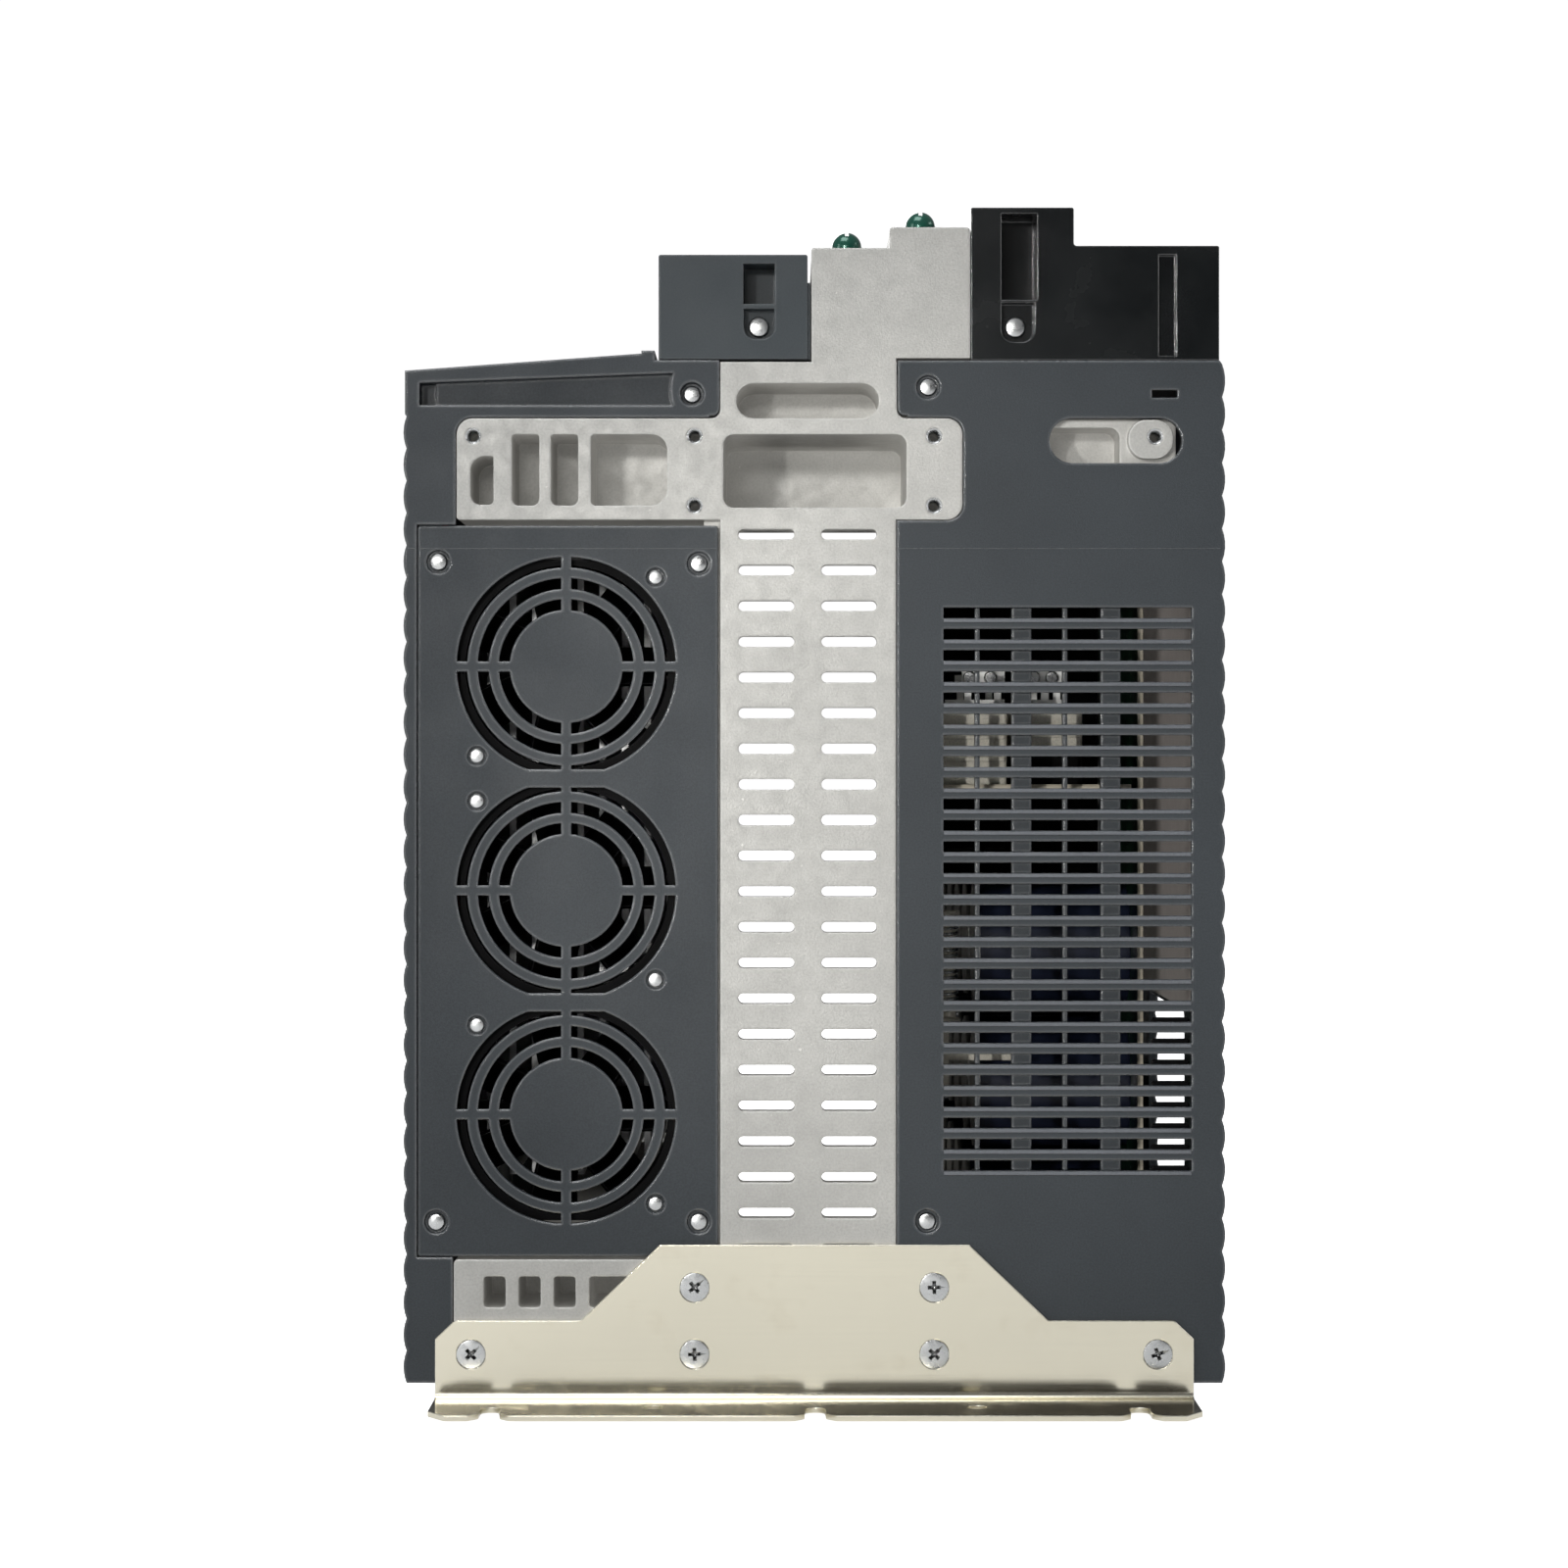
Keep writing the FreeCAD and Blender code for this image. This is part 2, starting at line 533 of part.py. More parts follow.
def bracket(label, side, relieved):
    """Bent sheet: an upright leaf on the end face and a foot along the wall."""
    blank = body(label + "_blank")
    face = side * half_length
    end = side * dim["bracket_reach"]
    half = dim["bracket_half"]
    bend_outside = sheet_thick + bend_inside
    bend_y, bend_z = face + side * bend_outside, bend_outside
    outer_mid = (bend_y - side * bend_outside * DIAGONAL, bend_z - bend_outside * DIAGONAL)
    inner_mid = (bend_y - side * bend_inside * DIAGONAL, bend_z - bend_inside * DIAGONAL)
    section = lines([(face, leaf_top), (face, bend_z)])
    section.append(arc((face, bend_z), outer_mid, (bend_y, 0)))
    section += lines([(bend_y, 0), (end, 0), (end, sheet_thick), (bend_y, sheet_thick)])
    section.append(arc((bend_y, sheet_thick), inner_mid, (face + side * sheet_thick, bend_z)))
    section += lines([(face + side * sheet_thick, bend_z), (face + side * sheet_thick, leaf_top),
                      (face, leaf_top)])
    pad(blank, label + "_section", "x", "-dims.bracket_half", "dims.bracket_half",
        [path(section)])

    # sloping shoulders of the leaf, and its middle relief
    shoulder = [(120, 18), (half, 18), (100.6, 23.1, 2), (65.3, 23.1, 2),
                (43.2, leaf_top, 1), (43.2, 60), (120, 60)]
    loops = [poly([(mirror * point[0],) + point[1:] for point in shoulder])
             for mirror in (-1, 1)]
    if relieved:
        loops.append(poly([(-28.5, 4.2, 2), (28.5, 4.2, 2), (28.5, 60), (-28.5, 60)]))
    low, high = sorted((face + side * 3, face - side))
    cut(blank, label + "_outline", "y", low, high, loops)

    # open slots with flared mouths, round holes and clipped corners in the foot
    outside = end + side * 2
    flare = side * (dim["bracket_reach"] - 3.2)
    bottom = side * (dim["bracket_reach"] - 13.0)
    loops = [poly([(x - 5.6, outside), (x - 5.6, end, 0.4), (x - 2.8, flare, 2.4),
                   (x - 2.8, bottom, 2.7), (x + 2.8, bottom, 2.7), (x + 2.8, flare, 2.4),
                   (x + 5.6, end, 0.4), (x + 5.6, outside)]) for x in (-89.0, 0.0, 89.0)]
    loops += circles([(-44.6, side * 196.0), (44.6, side * 196.0)], 2.75)
    clip = end - side * 7
    for mirror in (-1, 1):
        loops.append(poly([(mirror * (half + 2), clip), (mirror * half, clip, 1.5),
                           (mirror * (half - 5), end, 1.5), (mirror * (half - 5), outside),
                           (mirror * (half + 2), outside)]))
    cut(blank, label + "_foot", "z", -1, "dims.sheet_thick + 1", loops)

    tools = []
    for i, (x, z) in enumerate(BRACKET_HOLES):
        tools.append(cone("%s_sink_%d" % (label, i), (x, face + side * (sheet_thick + 0.05), z),
                          INWARD[side], "dims.head_radius + 0.15", 2.15,
                          "dims.head_high + 0.05"))
        tools.append(cyl("%s_pass_%d" % (label, i), (x, face - 3, z), "y", 2.2, 6))
    piece(subtract(label, blank, fuse(label + "_sinks", tools)))


bracket("lower_bracket", -1, False)
bracket("upper_bracket", 1, True)

screws = []
for side, end_tag in ((-1, "n"), (1, "f")):
    for i, (x, z) in enumerate(BRACKET_HOLES):
        tag = "%s_%d" % (end_tag, i)
        top = side * (half_length + sheet_thick + 0.02)
        head = cone("csk_" + tag, (x, top, z), INWARD[side], "dims.head_radius", 1.95,
                    "dims.head_high")
        shank = cyl("csk_shank_" + tag, (x, top - side * dim["head_high"] * 0.9, z),
                    INWARD[side], "dims.shank_radius", "dims.shank_long")
        screws.append(fuse("csk_screw_" + tag, [head, shank]))
group_piece("bracket_screws", screws)

# ================================================================== earth screws
screws = []
for i, (x, z) in enumerate(EARTH_TERMINALS):
    # captive washer under a slotted dome
    washer = cyl("earth_washer_%d" % i, (x, EARTH_Y, z + 0.05), "z", 4.3, 1.45)
    dome = doc.addObject("Part::Sphere", "dome_%d" % i)
    dome.Radius = 4.2
    dome.Placement = Placement(Vector(x, EARTH_Y, z + 1.45), Rotation())
    dome.Angle1 = 0
    dome.Angle2 = 90
    dome.Angle3 = 360
    shank = cyl("dome_shank_%d" % i, (x, EARTH_Y, z - 8.5), "z", 1.95, 9.0)
    slot = box("dome_slot_%d" % i, (x - 0.5, -176, z + 4.3), (x + 0.5, -165, z + 7))
    solid = fuse("dome_solid_%d" % i, [washer, dome, shank])
    screws.append(subtract("earth_screw_%d" % i, solid, slot))
group_piece("earth_screws", screws)


# ================================================================== left housing
def scallops(z_from, z_to, side):
    """Ribbed outer wall as a chain of arcs from z_from to z_to, and its inner x."""
    count = int(round(abs(z_from - z_to) / dim["scallop_pitch"]))
    step = (z_to - z_from) / count
    crest = side * half_width
    root = crest - side * dim["scallop_deep"]
    ribs = []
    for i in range(count):
        z = z_from + step * i
        ribs.append(arc((root, z), (crest, z + step / 2), (root, z + step)))
    return ribs, root


# hinge axis of the control door, just under the sloping front
FRONT_SLOPE = 5.0 / 69.0
slope_angle = math.atan(FRONT_SLOPE)
slope_cos, slope_sin = math.cos(slope_angle), math.sin(slope_angle)
barrel_radius = dim["door_thick"]
surface_x = -108.3
surface_z = 288.8 + (surface_x + half_width) * FRONT_SLOPE
hinge_x = surface_x + barrel_radius * slope_sin
hinge_z = surface_z - barrel_radius * slope_cos - 0.05

corner_radius = 2  # hollow corner where a housing meets the chassis neck
seat_radius, pass_radius = 3.3, 1.7  # seats and clearance holes of the housing screws

ribs, rib_root = scallops(276.0, back_level, -1)
outline = lines([(rib_root, back_level), (-31.4, back_level), (-31.4, 276.2), (-28.6, 276.2)])
outline.append(arc((-28.6, 276.2), (-28.6 + corner_radius * DIAGONAL,
                                    278.2 - corner_radius * DIAGONAL), (-26.6, 278.2)))
outline += lines([(-26.6, 278.2), (-26.6, 291.7), (-44.7, 291.7), (-44.7, 294.4),
                  (-48.4, 294.4), (-48.4, 293.6), (-114.6, 288.8), (-114.6, 276.6),
                  (rib_root, 276.0)])
left = body("left_housing")
pad(left, "shell", "y", NEAR, FAR, [path(outline + ribs)])
cut(left, "hollow", "y", NEAR + " + dims.wall", FAR + " - dims.wall", [poly([
    (-112, 8), (-20, 8), (-20, 289.2), (-45, 289.2), (-48, 291.0), (-112, 286.4)])])
# thicker end bands; the near one carries the tapered recess and the screw seat
pad(left, "end_band", "y", -178, -172, [poly([
    (-112.2, 276.4), (-26.8, 276.4, 1.9), (-26.8, 289.4), (-46.0, 289.4), (-112.2, 286.6)])])
pad(left, "end_band_far", "y", 172, 178, [poly([
    (-112.2, 276.4), (-31.0, 276.4), (-31.0, 289.4), (-46.0, 289.4), (-112.2, 286.6)])])
cut(left, "tapered_recess", "y", NEAR, NEAR + " + 3.5", [path(
    lines([(-110.6, 285.4), (-110.6, 279.1), (-39.6, 279.1)])
    + [arc((-39.6, 279.1), (-40.3, 282.3), (-39.6, 288.1))]
    + lines([(-39.6, 288.1), (-110.6, 285.4)]))])
cut(left, "recess_end", "y", NEAR, -173.5, [rect(-110.6, 279.1, -106.2, 285.4)])
pad(left, "inlet_lip", "y", NEAR, NEAR + " + dims.wall", [rect(-33.0, 275.75, -29.4, 276.6)])
cut(left, "inlet_opening", "y", NEAR, NEAR + " + 2.6", [poly([
    (-111.3, 40.6), (-101.2, 40.6), (-101.2, 8.2), (-20, 8.2), (-20, 275.7),
    (-100.4, 275.7, 4.7), (-100.4, 245.7), (-111.3, 245.7)])])
cut(left, "outlet_opening", "y", FAR + " - 2.6", FAR, [poly([
    (-101.2, 8.2), (-20, 8.2), (-20, 275.7), (-100.4, 275.7), (-100.4, 246.8), (-36, 246.8),
    (-36, 239), (-104, 239), (-104, 48), (-36, 48), (-36, 40.3), (-101.2, 40.3)])])
# screw posts
pad(left, "posts", "y", -177, -164,
    [rect(-112.2, 230.8, -102.0, 239.8), rect(-112.2, 46.0, -102.0, 55.0)])
pad(left, "posts_far", "y", 164, 177.6,
    [rect(-112.2, 60.0, -104.0, 69.0), rect(-112.2, 222.0, -104.0, 231.0)])
cut(left, "post_cores", "y", -177, -166, circles(COVER_POSTS, 1.25))
cut(left, "post_cores_far", "y", 166, FAR, circles(GRILLE_SCREWS, 1.25))
cut(left, "screw_seat", "y", NEAR, -177.2, circles([LEFT_TOP], seat_radius))
cut(left, "screw_pass", "y", NEAR, -171, circles([LEFT_TOP], pass_radius))
cut(left, "screw_seat_far", "y", 177.2, FAR, circles([LEFT_TOP], seat_radius))
cut(left, "screw_pass_far", "y", 171, FAR, circles([LEFT_TOP], pass_radius))
# door opening in the sloping front, with a hinge lug beyond each end of it
lug = poly([(-112.2, 280.5), (-104.5, 280.5), (-104.5, 287.4), (-112.2, 287.0)])
pin_seat = circle(hinge_x, hinge_z, "dims.pin_radius")
pad(left, "lug_near", "y", -106.5, -100.4, [lug])
pad(left, "lug_far", "y", 110.4, 116.5, [lug])
cut(left, "door_opening", "z", 280, 300, [rect(-111.2, -100.3, -51.6, 110.3)])
cut(left, "pin_seat_near", "y", -106.5, -100.3, [pin_seat])
cut(left, "pin_seat_far", "y", 110.3, 116.5, [pin_seat])
# cable outlets in the side wall
cut(left, "cable_ports", "x", -118, -105,
    [stadium(y, 268, y + 16, 273.4) for y in (-60, -30, 0)])
piece(left)

# ================================================================= right housing
ribs, rib_root = scallops(back_level, 290.6, 1)
outline = lines([(31.0, back_level), (rib_root, back_level)]) + ribs
outline += lines([(rib_root, 290.6), (113.4, front_level), (23.3, front_level), (23.3, 278.3)])
outline.append(arc((23.3, 278.3), (25.3 - corner_radius * DIAGONAL,
                                   278.3 - corner_radius * DIAGONAL), (25.3, 276.3)))
outline += lines([(25.3, 276.3), (31.0, 276.3), (31.0, back_level)])
right = body("right_housing")
pad(right, "shell", "y", NEAR, FAR, [path(outline)])
pad(right, "inlet_lip", "y", NEAR, NEAR + " + dims.wall",
    [rect(23.1, 8.0, 32.0, 247.0), rect(26.1, 275.75, 32.0, 276.6)])
cut(right, "hollow", "y", NEAR + " + dims.wall", FAR + " - dims.wall",
    [rect(15, 8, "dims.half_width - 3", "dims.front_level - dims.wall")])
cut(right, "inlet_flanges", "y", NEAR, NEAR + " + 2.6", [
    poly([(15, 246.8), (41.7, 246.8, 4.7), (41.7, 275.7, 4.7), (15, 275.7)]),
    poly([(15, 4), (100.3, 4), (100.3, 21.3), (42.3, 21.3), (42.3, 40.3), (15, 40.3)])])
cut(right, "outlet_flanges", "y", FAR + " - 2.6", FAR,
    [rect(15, 246.8, 101.8, 275.7), rect(15, 8.2, 100.3, 40.3)])
cut(right, "wing_opening", "y", NEAR, NEAR + " + 2.6", [stadium(65.8, 262.9, 102.8, 275.5)])
cut(right, "catch_slot", "y", NEAR, NEAR + " + 2.6", [rect(94.4, 281.2, 101.6, 283.4)])
# stiffening ribs behind the louvres
pad(right, "ribs", "y", -178.6, -173.5, [
    rect(x0, 62, x1, 225)
    for x0, x1 in ((45.1, 46.4), (69.7, 71.0), (55.4, 60.9), (80.4, 85.9))])
pad(right, "ribs_far", "y", 175.0, 178.6, [
    rect(x0, 66, x1, 229) for x0, x1 in ((69.7, 71.0), (55.4, 58.4), (80.4, 83.4))])
# screw seats
pad(right, "seat_a", "y", -177.6, -172, circles([RIGHT_TOP], 4.5))
pad(right, "seat_b", "y", -177.6, -176.6, circles([RIGHT_LOW], 4.5))
right_near = [RIGHT_TOP, RIGHT_LOW]
right_far = [RIGHT_TOP_FAR, RIGHT_LOW_FAR]
cut(right, "screw_seats", "y", NEAR, -178.6, circles(right_near, seat_radius))
cut(right, "screw_passes", "y", NEAR, -171.5, circles(right_near, pass_radius))
cut(right, "screw_seats_far", "y", 178.6, FAR, circles(right_far, seat_radius))
cut(right, "screw_passes_far", "y", 171.5, FAR, circles(right_far, pass_radius))
# louvres; the far end leaves out the lowest row
louvre = cut(right, "louvre", "y", NEAR, NEAR + " + 2.6",
             [rect(36.1, 64.8, 105.6, "64.8 + dims.louvre_gap")])
pattern(right, "louvres", [louvre], "z", "dims.louvre_pitch", "dims.louvre_count")
louvre = cut(right, "louvre_far", "y", FAR + " - 2.6", FAR,
             [rect(46.0, "64.8 + dims.louvre_pitch", 105.6,
                   "64.8 + dims.louvre_pitch + dims.louvre_gap")])
pattern(right, "louvres_far", [louvre], "z", "dims.louvre_pitch", "dims.louvre_count - 1")
# cut-out in the side wall for an option module
cut(right, "side_cutout", "x", "dims.half_width - 4", "dims.half_width + 1",
    [round_rect(-104, 46.5, 0, 104.5, 3)])
# vents in the front
vent = cut(right, "vent", "z", "dims.front_level - dims.wall - 0.5", "dims.front_level + 0.5",
           [stadium(38, -96, 70, -92), stadium(75, -96, 107, -92)])
pattern(right, "vents", [vent], "y", 9.0, 28)
piece(right)

# ====================================================================== fan cover
fan_x = dim["fan_x"]
fan_holes = dim["fan_holes"]
levels = [level for _, _, level in reversed(FANS)]
ring_radii = (30.7, 27.7, 24.8, 21.7, 18.9, 15.8)  # edges of the annular openings
# two screws per fan on a diagonal, which leans the other way on the top fan
fan_screws = []
for tag, _, level in FANS:
    lean = 1 if tag == "top" else -1
    fan_screws += [(fan_x + fan_holes, level + lean * fan_holes),
                   (fan_x - fan_holes, level - lean * fan_holes)]
cover_face = NEAR + " + 0.4"
cover_back = cover_face + " + dims.cover_thick"

cover = body("fan_cover")
pad(cover, "plate", "y", cover_face, cover_back, [round_rect(-111.0, 40.9, -27.0, 245.4, 0.8)])
rings = cut(cover, "rings", "y", cover_face, NEAR + " + 3",
            [circle(fan_x, levels[0], radius) for radius in ring_radii])
pattern(cover, "ring_sets", [rings], "z", "dims.fan_pitch", 3)
pad(cover, "spokes_upright", "y", cover_face, NEAR + " + 2.6",
    [poly([(-70.9, 46), (-68.1, 46), (-68.1, 240), (-70.9, 240)])])
pad(cover, "spokes_across", "y", cover_face, NEAR + " + 2.6",
    [rect(-102, at + " - dims.spoke_wide/2", -37, at + " + dims.spoke_wide/2")
     for _, at, _ in reversed(FANS)])
pad(cover, "flats", "y", cover_face, cover_back,
    [rect(-92, low + 28.8, -47, high - 28.8) for low, high in zip(levels, levels[1:])])
cut(cover, "corner_seats", "y", NEAR, NEAR + " + 1.6", circles(COVER_SCREWS, 3.3))
cut(cover, "corner_passes", "y", NEAR, NEAR + " + 3", circles(COVER_SCREWS, 1.7))
cut(cover, "fan_seats", "y", NEAR, NEAR + " + 1.2", circles(fan_screws, 2.6))
cut(cover, "fan_passes", "y", NEAR, NEAR + " + 3", circles(fan_screws, 1.45))
piece(cover)

pan_screws("fan_cover_screws", [(x, -178.4, z, 2.4, 1.4, 1.15, 11) for x, z in COVER_SCREWS])
pan_screws("fan_screws", [(x, -178.8, z, 2.05, 1.2, 1.25, 12) for x, z in fan_screws])
# (x, z), y under the head, head height, shank length
housing_screws = [
    (LEFT_TOP, -177.2, 1.6, 16), (RIGHT_TOP, -178.6, 1.4, 16), (RIGHT_LOW, -178.6, 1.4, 12),
    (LEFT_TOP, 177.2, 1.6, 16), (RIGHT_TOP_FAR, 178.6, 1.4, 16), (RIGHT_LOW_FAR, 178.6, 1.4, 9)]
pan_screws("housing_screws", [(x, y, z, 2.4, head_high, 1.2, shank_long)
                              for (x, z), y, head_high, shank_long in housing_screws])

# =========================================================================== fans
# Each fan is drawn about its own axis with the inlet face at y = 0, then placed.
QUADRANTS = [(-1, -1), (-1, 1), (1, -1), (1, 1)]


def fan_frame(tag, level):
    frame = body("fan_frame_" + tag)
    half = dim["fan_size"] / 2
    depth = "dims.fan_depth"
    pad(frame, "frame_" + tag, "y", 0, depth, [round_rect(-half, -half, half, half, 3)])
    cut(frame, "tunnel_" + tag, "y", 0, depth, [circle(0, 0, "dims.fan_bore")])
    # four struts carry the motor base at the outlet side
    pad(frame, "struts_" + tag, "y", depth + " - 3.5", depth,
        [rect(-29, -1.6, 29, 1.6), rect(-1.6, -29, 1.6, -5), rect(-1.6, 5, 1.6, 29)])
    pad(frame, "base_" + tag, "y", depth + " - 4", depth, [circle(0, 0, 13.5)])
    cut(frame, "seat_" + tag, "y", depth + " - 4", depth, [circle(0, 0, 3.0)])
    cut(frame, "holes_" + tag, "y", 0, depth,
        circles([(i * fan_holes, j * fan_holes) for i, j in QUADRANTS], 2.15))
    # the corners are scooped out between the two end flanges of the frame
    cut(frame, "waist_" + tag, "y", 4, 21,
        circles([(i * 29.2, j * 29.2) for i, j in QUADRANTS], 3.0))
    seat(frame, ("dims.fan_x", "dims.fan_face", level))
    piece(frame)


def fan_rotor(tag, level):
    rotor = body("fan_rotor_" + tag)
    pad(rotor, "hub_" + tag, "y", 1.2, 20.0, [circle(0, 0, "dims.rotor_hub")])
    pad(rotor, "axle_" + tag, "y", 19.8, 24.6, [circle(0, 0, "dims.axle_radius")])
    blade = pad(rotor, "blade_" + tag, "x", 12.5, "dims.rotor_tip",
                [poly([(2.2, -4.6), (3.4, -5.4), (19.0, 5.2), (18.2, 6.2)])])
    polar(rotor, "blades_" + tag, [blade], "y", "dims.blade_count")
    seat(rotor, ("dims.fan_x", "dims.fan_face", level))
    piece(rotor)


def fan_bearing(tag, level):
    outlet_face = "dims.fan_face + dims.fan_depth"
    outer = cyl("sleeve_outer_" + tag, ("dims.fan_x", outlet_face + " - 4", level), "y",
                2.99, 3.9)
    bore = cyl("sleeve_bore_" + tag, ("dims.fan_x", outlet_face + " - 5", level), "y",
               "dims.axle_radius + dims.axle_gap", 6)
    return subtract("sleeve_" + tag, outer, bore)


bearings = []
for tag, level, _ in FANS:
    fan_frame(tag, level)
    fan_rotor(tag, level)
    bearings.append(fan_bearing(tag, level))
group_piece("fan_bearings", bearings)

# ====================================================================== heat sink
sink_left = -101
sink_front = 247
heat_sink = body("heat_sink")
pad(heat_sink, "sink_base", "y", -145, 148, [poly([
    (sink_left, 238, 1), (-31.15, 238), (-31.15, sink_front), (sink_left, sink_front, 1)])])
fin = pad(heat_sink, "fin", "x", sink_left, "%d + dims.fin_thick" % sink_left,
          [rect(-145, 60, 148, 238.5)])
pattern(heat_sink, "fins", [fin], "x", "dims.fin_pitch", "dims.fin_count")
piece(heat_sink)

# ================================================================== power modules
MODULE_STARTS = (-132, -46, 40)  # near edge of each module along Y
module_long = 78
module_top = 264
modules = []
for i, y in enumerate(MODULE_STARTS):
    module = body("module_%d" % i)
    pad(module, "module_block_%d" % i, "z", sink_front, 261,
        [round_rect(-99, y, -39, y + module_long, 2)])
    pad(module, "module_top_%d" % i, "z", 260.5, module_top,
        [rect(-93, y + 8, -45, y + module_long - 8)])
    cut(module, "module_holes_%d" % i, "z", sink_front, 262,
        circles([(-69, y + 4.2), (-69, y + module_long - 4.2)], 2.2))
    modules.append(module)
group_piece("power_modules", modules)
group_piece("module_pins", [
    cyl("pin_%d_%d_%d" % (i, j, side), (x, y + 15 + 16 * j, module_top), "z", 0.6, 2.4)
    for i, y in enumerate(MODULE_STARTS) for j in range(4) for side, x in enumerate((-89, -49))])

# ============================================================== boards on the left
power_level = 266.4
control_level = 276.4
board_thick = dim["board_thick"]
SPACER_POINTS = [(-104, -140), (-104, 140), (-45, -140), (-45, 140)]


def left_board(name, level):
    board = body(name)
    pad(board, "board", "z", level, "%s + dims.board_thick" % level,
        [round_rect(-108, -148, -40.5, 148, 2)])
    cut(board, "board_holes", "z", level - 0.4, level + 2.6, circles(SPACER_POINTS, 1.6))
    piece(board)


left_board("power_board", power_level)
left_board("control_board", control_level)
power_top = power_level + board_thick
control_top = control_level + board_thick
spacers = []
for i, (x, y) in enumerate(SPACER_POINTS):
    # the low spacers on the left are moved in to stand on the heat sink
    low_x = x if x > -100 else -97.5
    spacers.append(cyl("spacer_low_%d" % i, (low_x, y, sink_front), "z", 2.6,
                       power_level - sink_front))
    spacers.append(cyl("spacer_high_%d" % i, (x, y, power_top), "z", 2.6,
                       control_level - power_top))
group_piece("board_spacers", spacers)
group_piece("board_screws", [cyl("board_head_%d" % i, (x, y, control_top), "z", 2.7, 1.7)
                             for i, (x, y) in enumerate(SPACER_POINTS)])

entry_pitch = 5.0
connectors = []
# start along Y, length
for i, (y, length) in enumerate(((-92, 34), (-50, 34), (-8, 34), (34, 22), (64, 34))):
    connector = body("connector_%d" % i)
    pad(connector, "connector_block_%d" % i, "z", 278, 284.6, [rect(-104, y, -94, y + length)])
    entry = cut(connector, "entry_%d" % i, "z", 280, 284.6, [circle(-99, y + 4.5, 1.6)])
    pattern(connector, "entries_%d" % i, [entry], "y", entry_pitch,
            int(length / entry_pitch) - 1)
    connectors.append(connector)
group_piece("control_connectors", connectors)


# ============================================================ control door, hinge
def slope(along, out):
    """Point (x, z) along the sloping front from the hinge axis, and outwards of it."""
    return (hinge_x + along * slope_cos - out * slope_sin,
            hinge_z + along * slope_sin + out * slope_cos)


door_wide = 55.6
door_near, door_far = -99.7, 109.7
# the barrel runs three quarters round and into the plate: its top is tangent to the
# plate's outside and the plate's underside goes through the hinge axis
barrel_top, barrel_bottom = slope(0, barrel_radius), slope(0, -barrel_radius)
barrel_right = slope(barrel_radius, 0)
outline = [arc(barrel_top, slope(-barrel_radius, 0), barrel_bottom),
           arc(barrel_bottom, slope(barrel_radius * DIAGONAL, -barrel_radius * DIAGONAL),
               barrel_right)]
outline += lines([barrel_right, slope(door_wide, 0), slope(door_wide, dim["door_thick"]),
                  barrel_top])
lip = [slope(52.6, 0.1), slope(54.6, 0.1), slope(54.6, -3.2), slope(52.6, -3.2)]
pin_hole = circle(hinge_x, hinge_z, "dims.pin_radius + dims.axle_gap")

door = body("control_door")
pad(door, "plate", "y", door_near, door_far, [path(outline)])
pad(door, "latch_lip", "y", -10, 20, [path(lines(lip + lip[:1]))])
cut(door, "pin_hole_near", "y", door_near, -86, [pin_hole])
cut(door, "pin_hole_far", "y", 96, door_far, [pin_hole])
cut(door, "finger_recess", "z", 292.1, 296, [stadium(-60.5, -8, -54.5, 18)])
piece(door)
group_piece("door_hinge_pins", [
    cyl("hinge_pin_" + tag, (hinge_x, y, hinge_z), "y", "dims.pin_radius - 0.001", 18.5)
    for tag, y in (("near", -106.2), ("far", 97.7))])

# ================================================== centre cover, display, buttons
BUTTONS = [(-10, -6), (7, -6)]  # (x, y)
centre_back = 276.6
centre = body("centre_cover")
pad(centre, "block", "z", centre_back, "dims.front_level",
    [round_rect(-26.2, -115.5, 22.9, 178.5, 1)])
cut(centre, "hollow", "z", centre_back, "dims.front_level - 2.4",
    [rect(-24.0, -113.3, 20.7, 176.3)])
cut(centre, "display_opening", "z", 288, 292, [rect(-19, -60, 16, -22)])
cut(centre, "button_holes", "z", 288, 292, circles(BUTTONS, "dims.button_radius + 0.25"))
groove = cut(centre, "groove", "z", "dims.front_level - 0.8", "dims.front_level + 0.5",
             [rect(-20, 30, 17, 32)])
pattern(centre, "grooves", [groove], "y", 7.0, 20)
piece(centre)

window = body("display_window")
pad(window, "window_flange", "z", 287.6, 289.1, [rect(-21, -62, 18, -20)])
pad(window, "window_face", "z", 289.0, 291.2, [rect(-18.8, -59.8, 15.8, -22.2)])
piece(window)

display = body("display_board")
pad(display, "board", "z", 281, "281 + dims.board_thick", [rect(-22, -64, 19, 8)])
pad(display, "switches", "z", 282.5, 286.3,
    [rect(x - 3, y - 3, x + 3, y + 3) for x, y in BUTTONS])
pad(display, "panel", "z", 282.5, 286.9, [rect(-18, -58, 15, -24)])
piece(display)
group_piece("display_spacers", [
    cyl("dsp_%d" % i, (x, y, 276.05), "z", 2.0, 4.95)
    for i, (x, y) in enumerate(((-20, -62), (17, -62), (-20, 6), (17, 6)))])

for i, (x, y) in enumerate(BUTTONS):
    button = body("push_button_%d" % (i + 1))
    pad(button, "cap_%d" % i, "z", 287.4, 292.6, [circle(x, y, "dims.button_radius")])
    pad(button, "collar_%d" % i, "z", 287.4, 288.9, [circle(x, y, "dims.button_radius + 1.2")])
    piece(button)

# ================================================================ terminal blocks
POLES = 3
# (x, y) of the first pole's clamp screw, and the pole pitch
motor_clamp, motor_pitch = (-24, -159), 12.5
mains_clamp, mains_pitch = (82, -160), 15.0
# (x, z) of the screw in the near face
motor_screw = (-15.6, 301.4)
mains_screw = (56.4, 301.2)

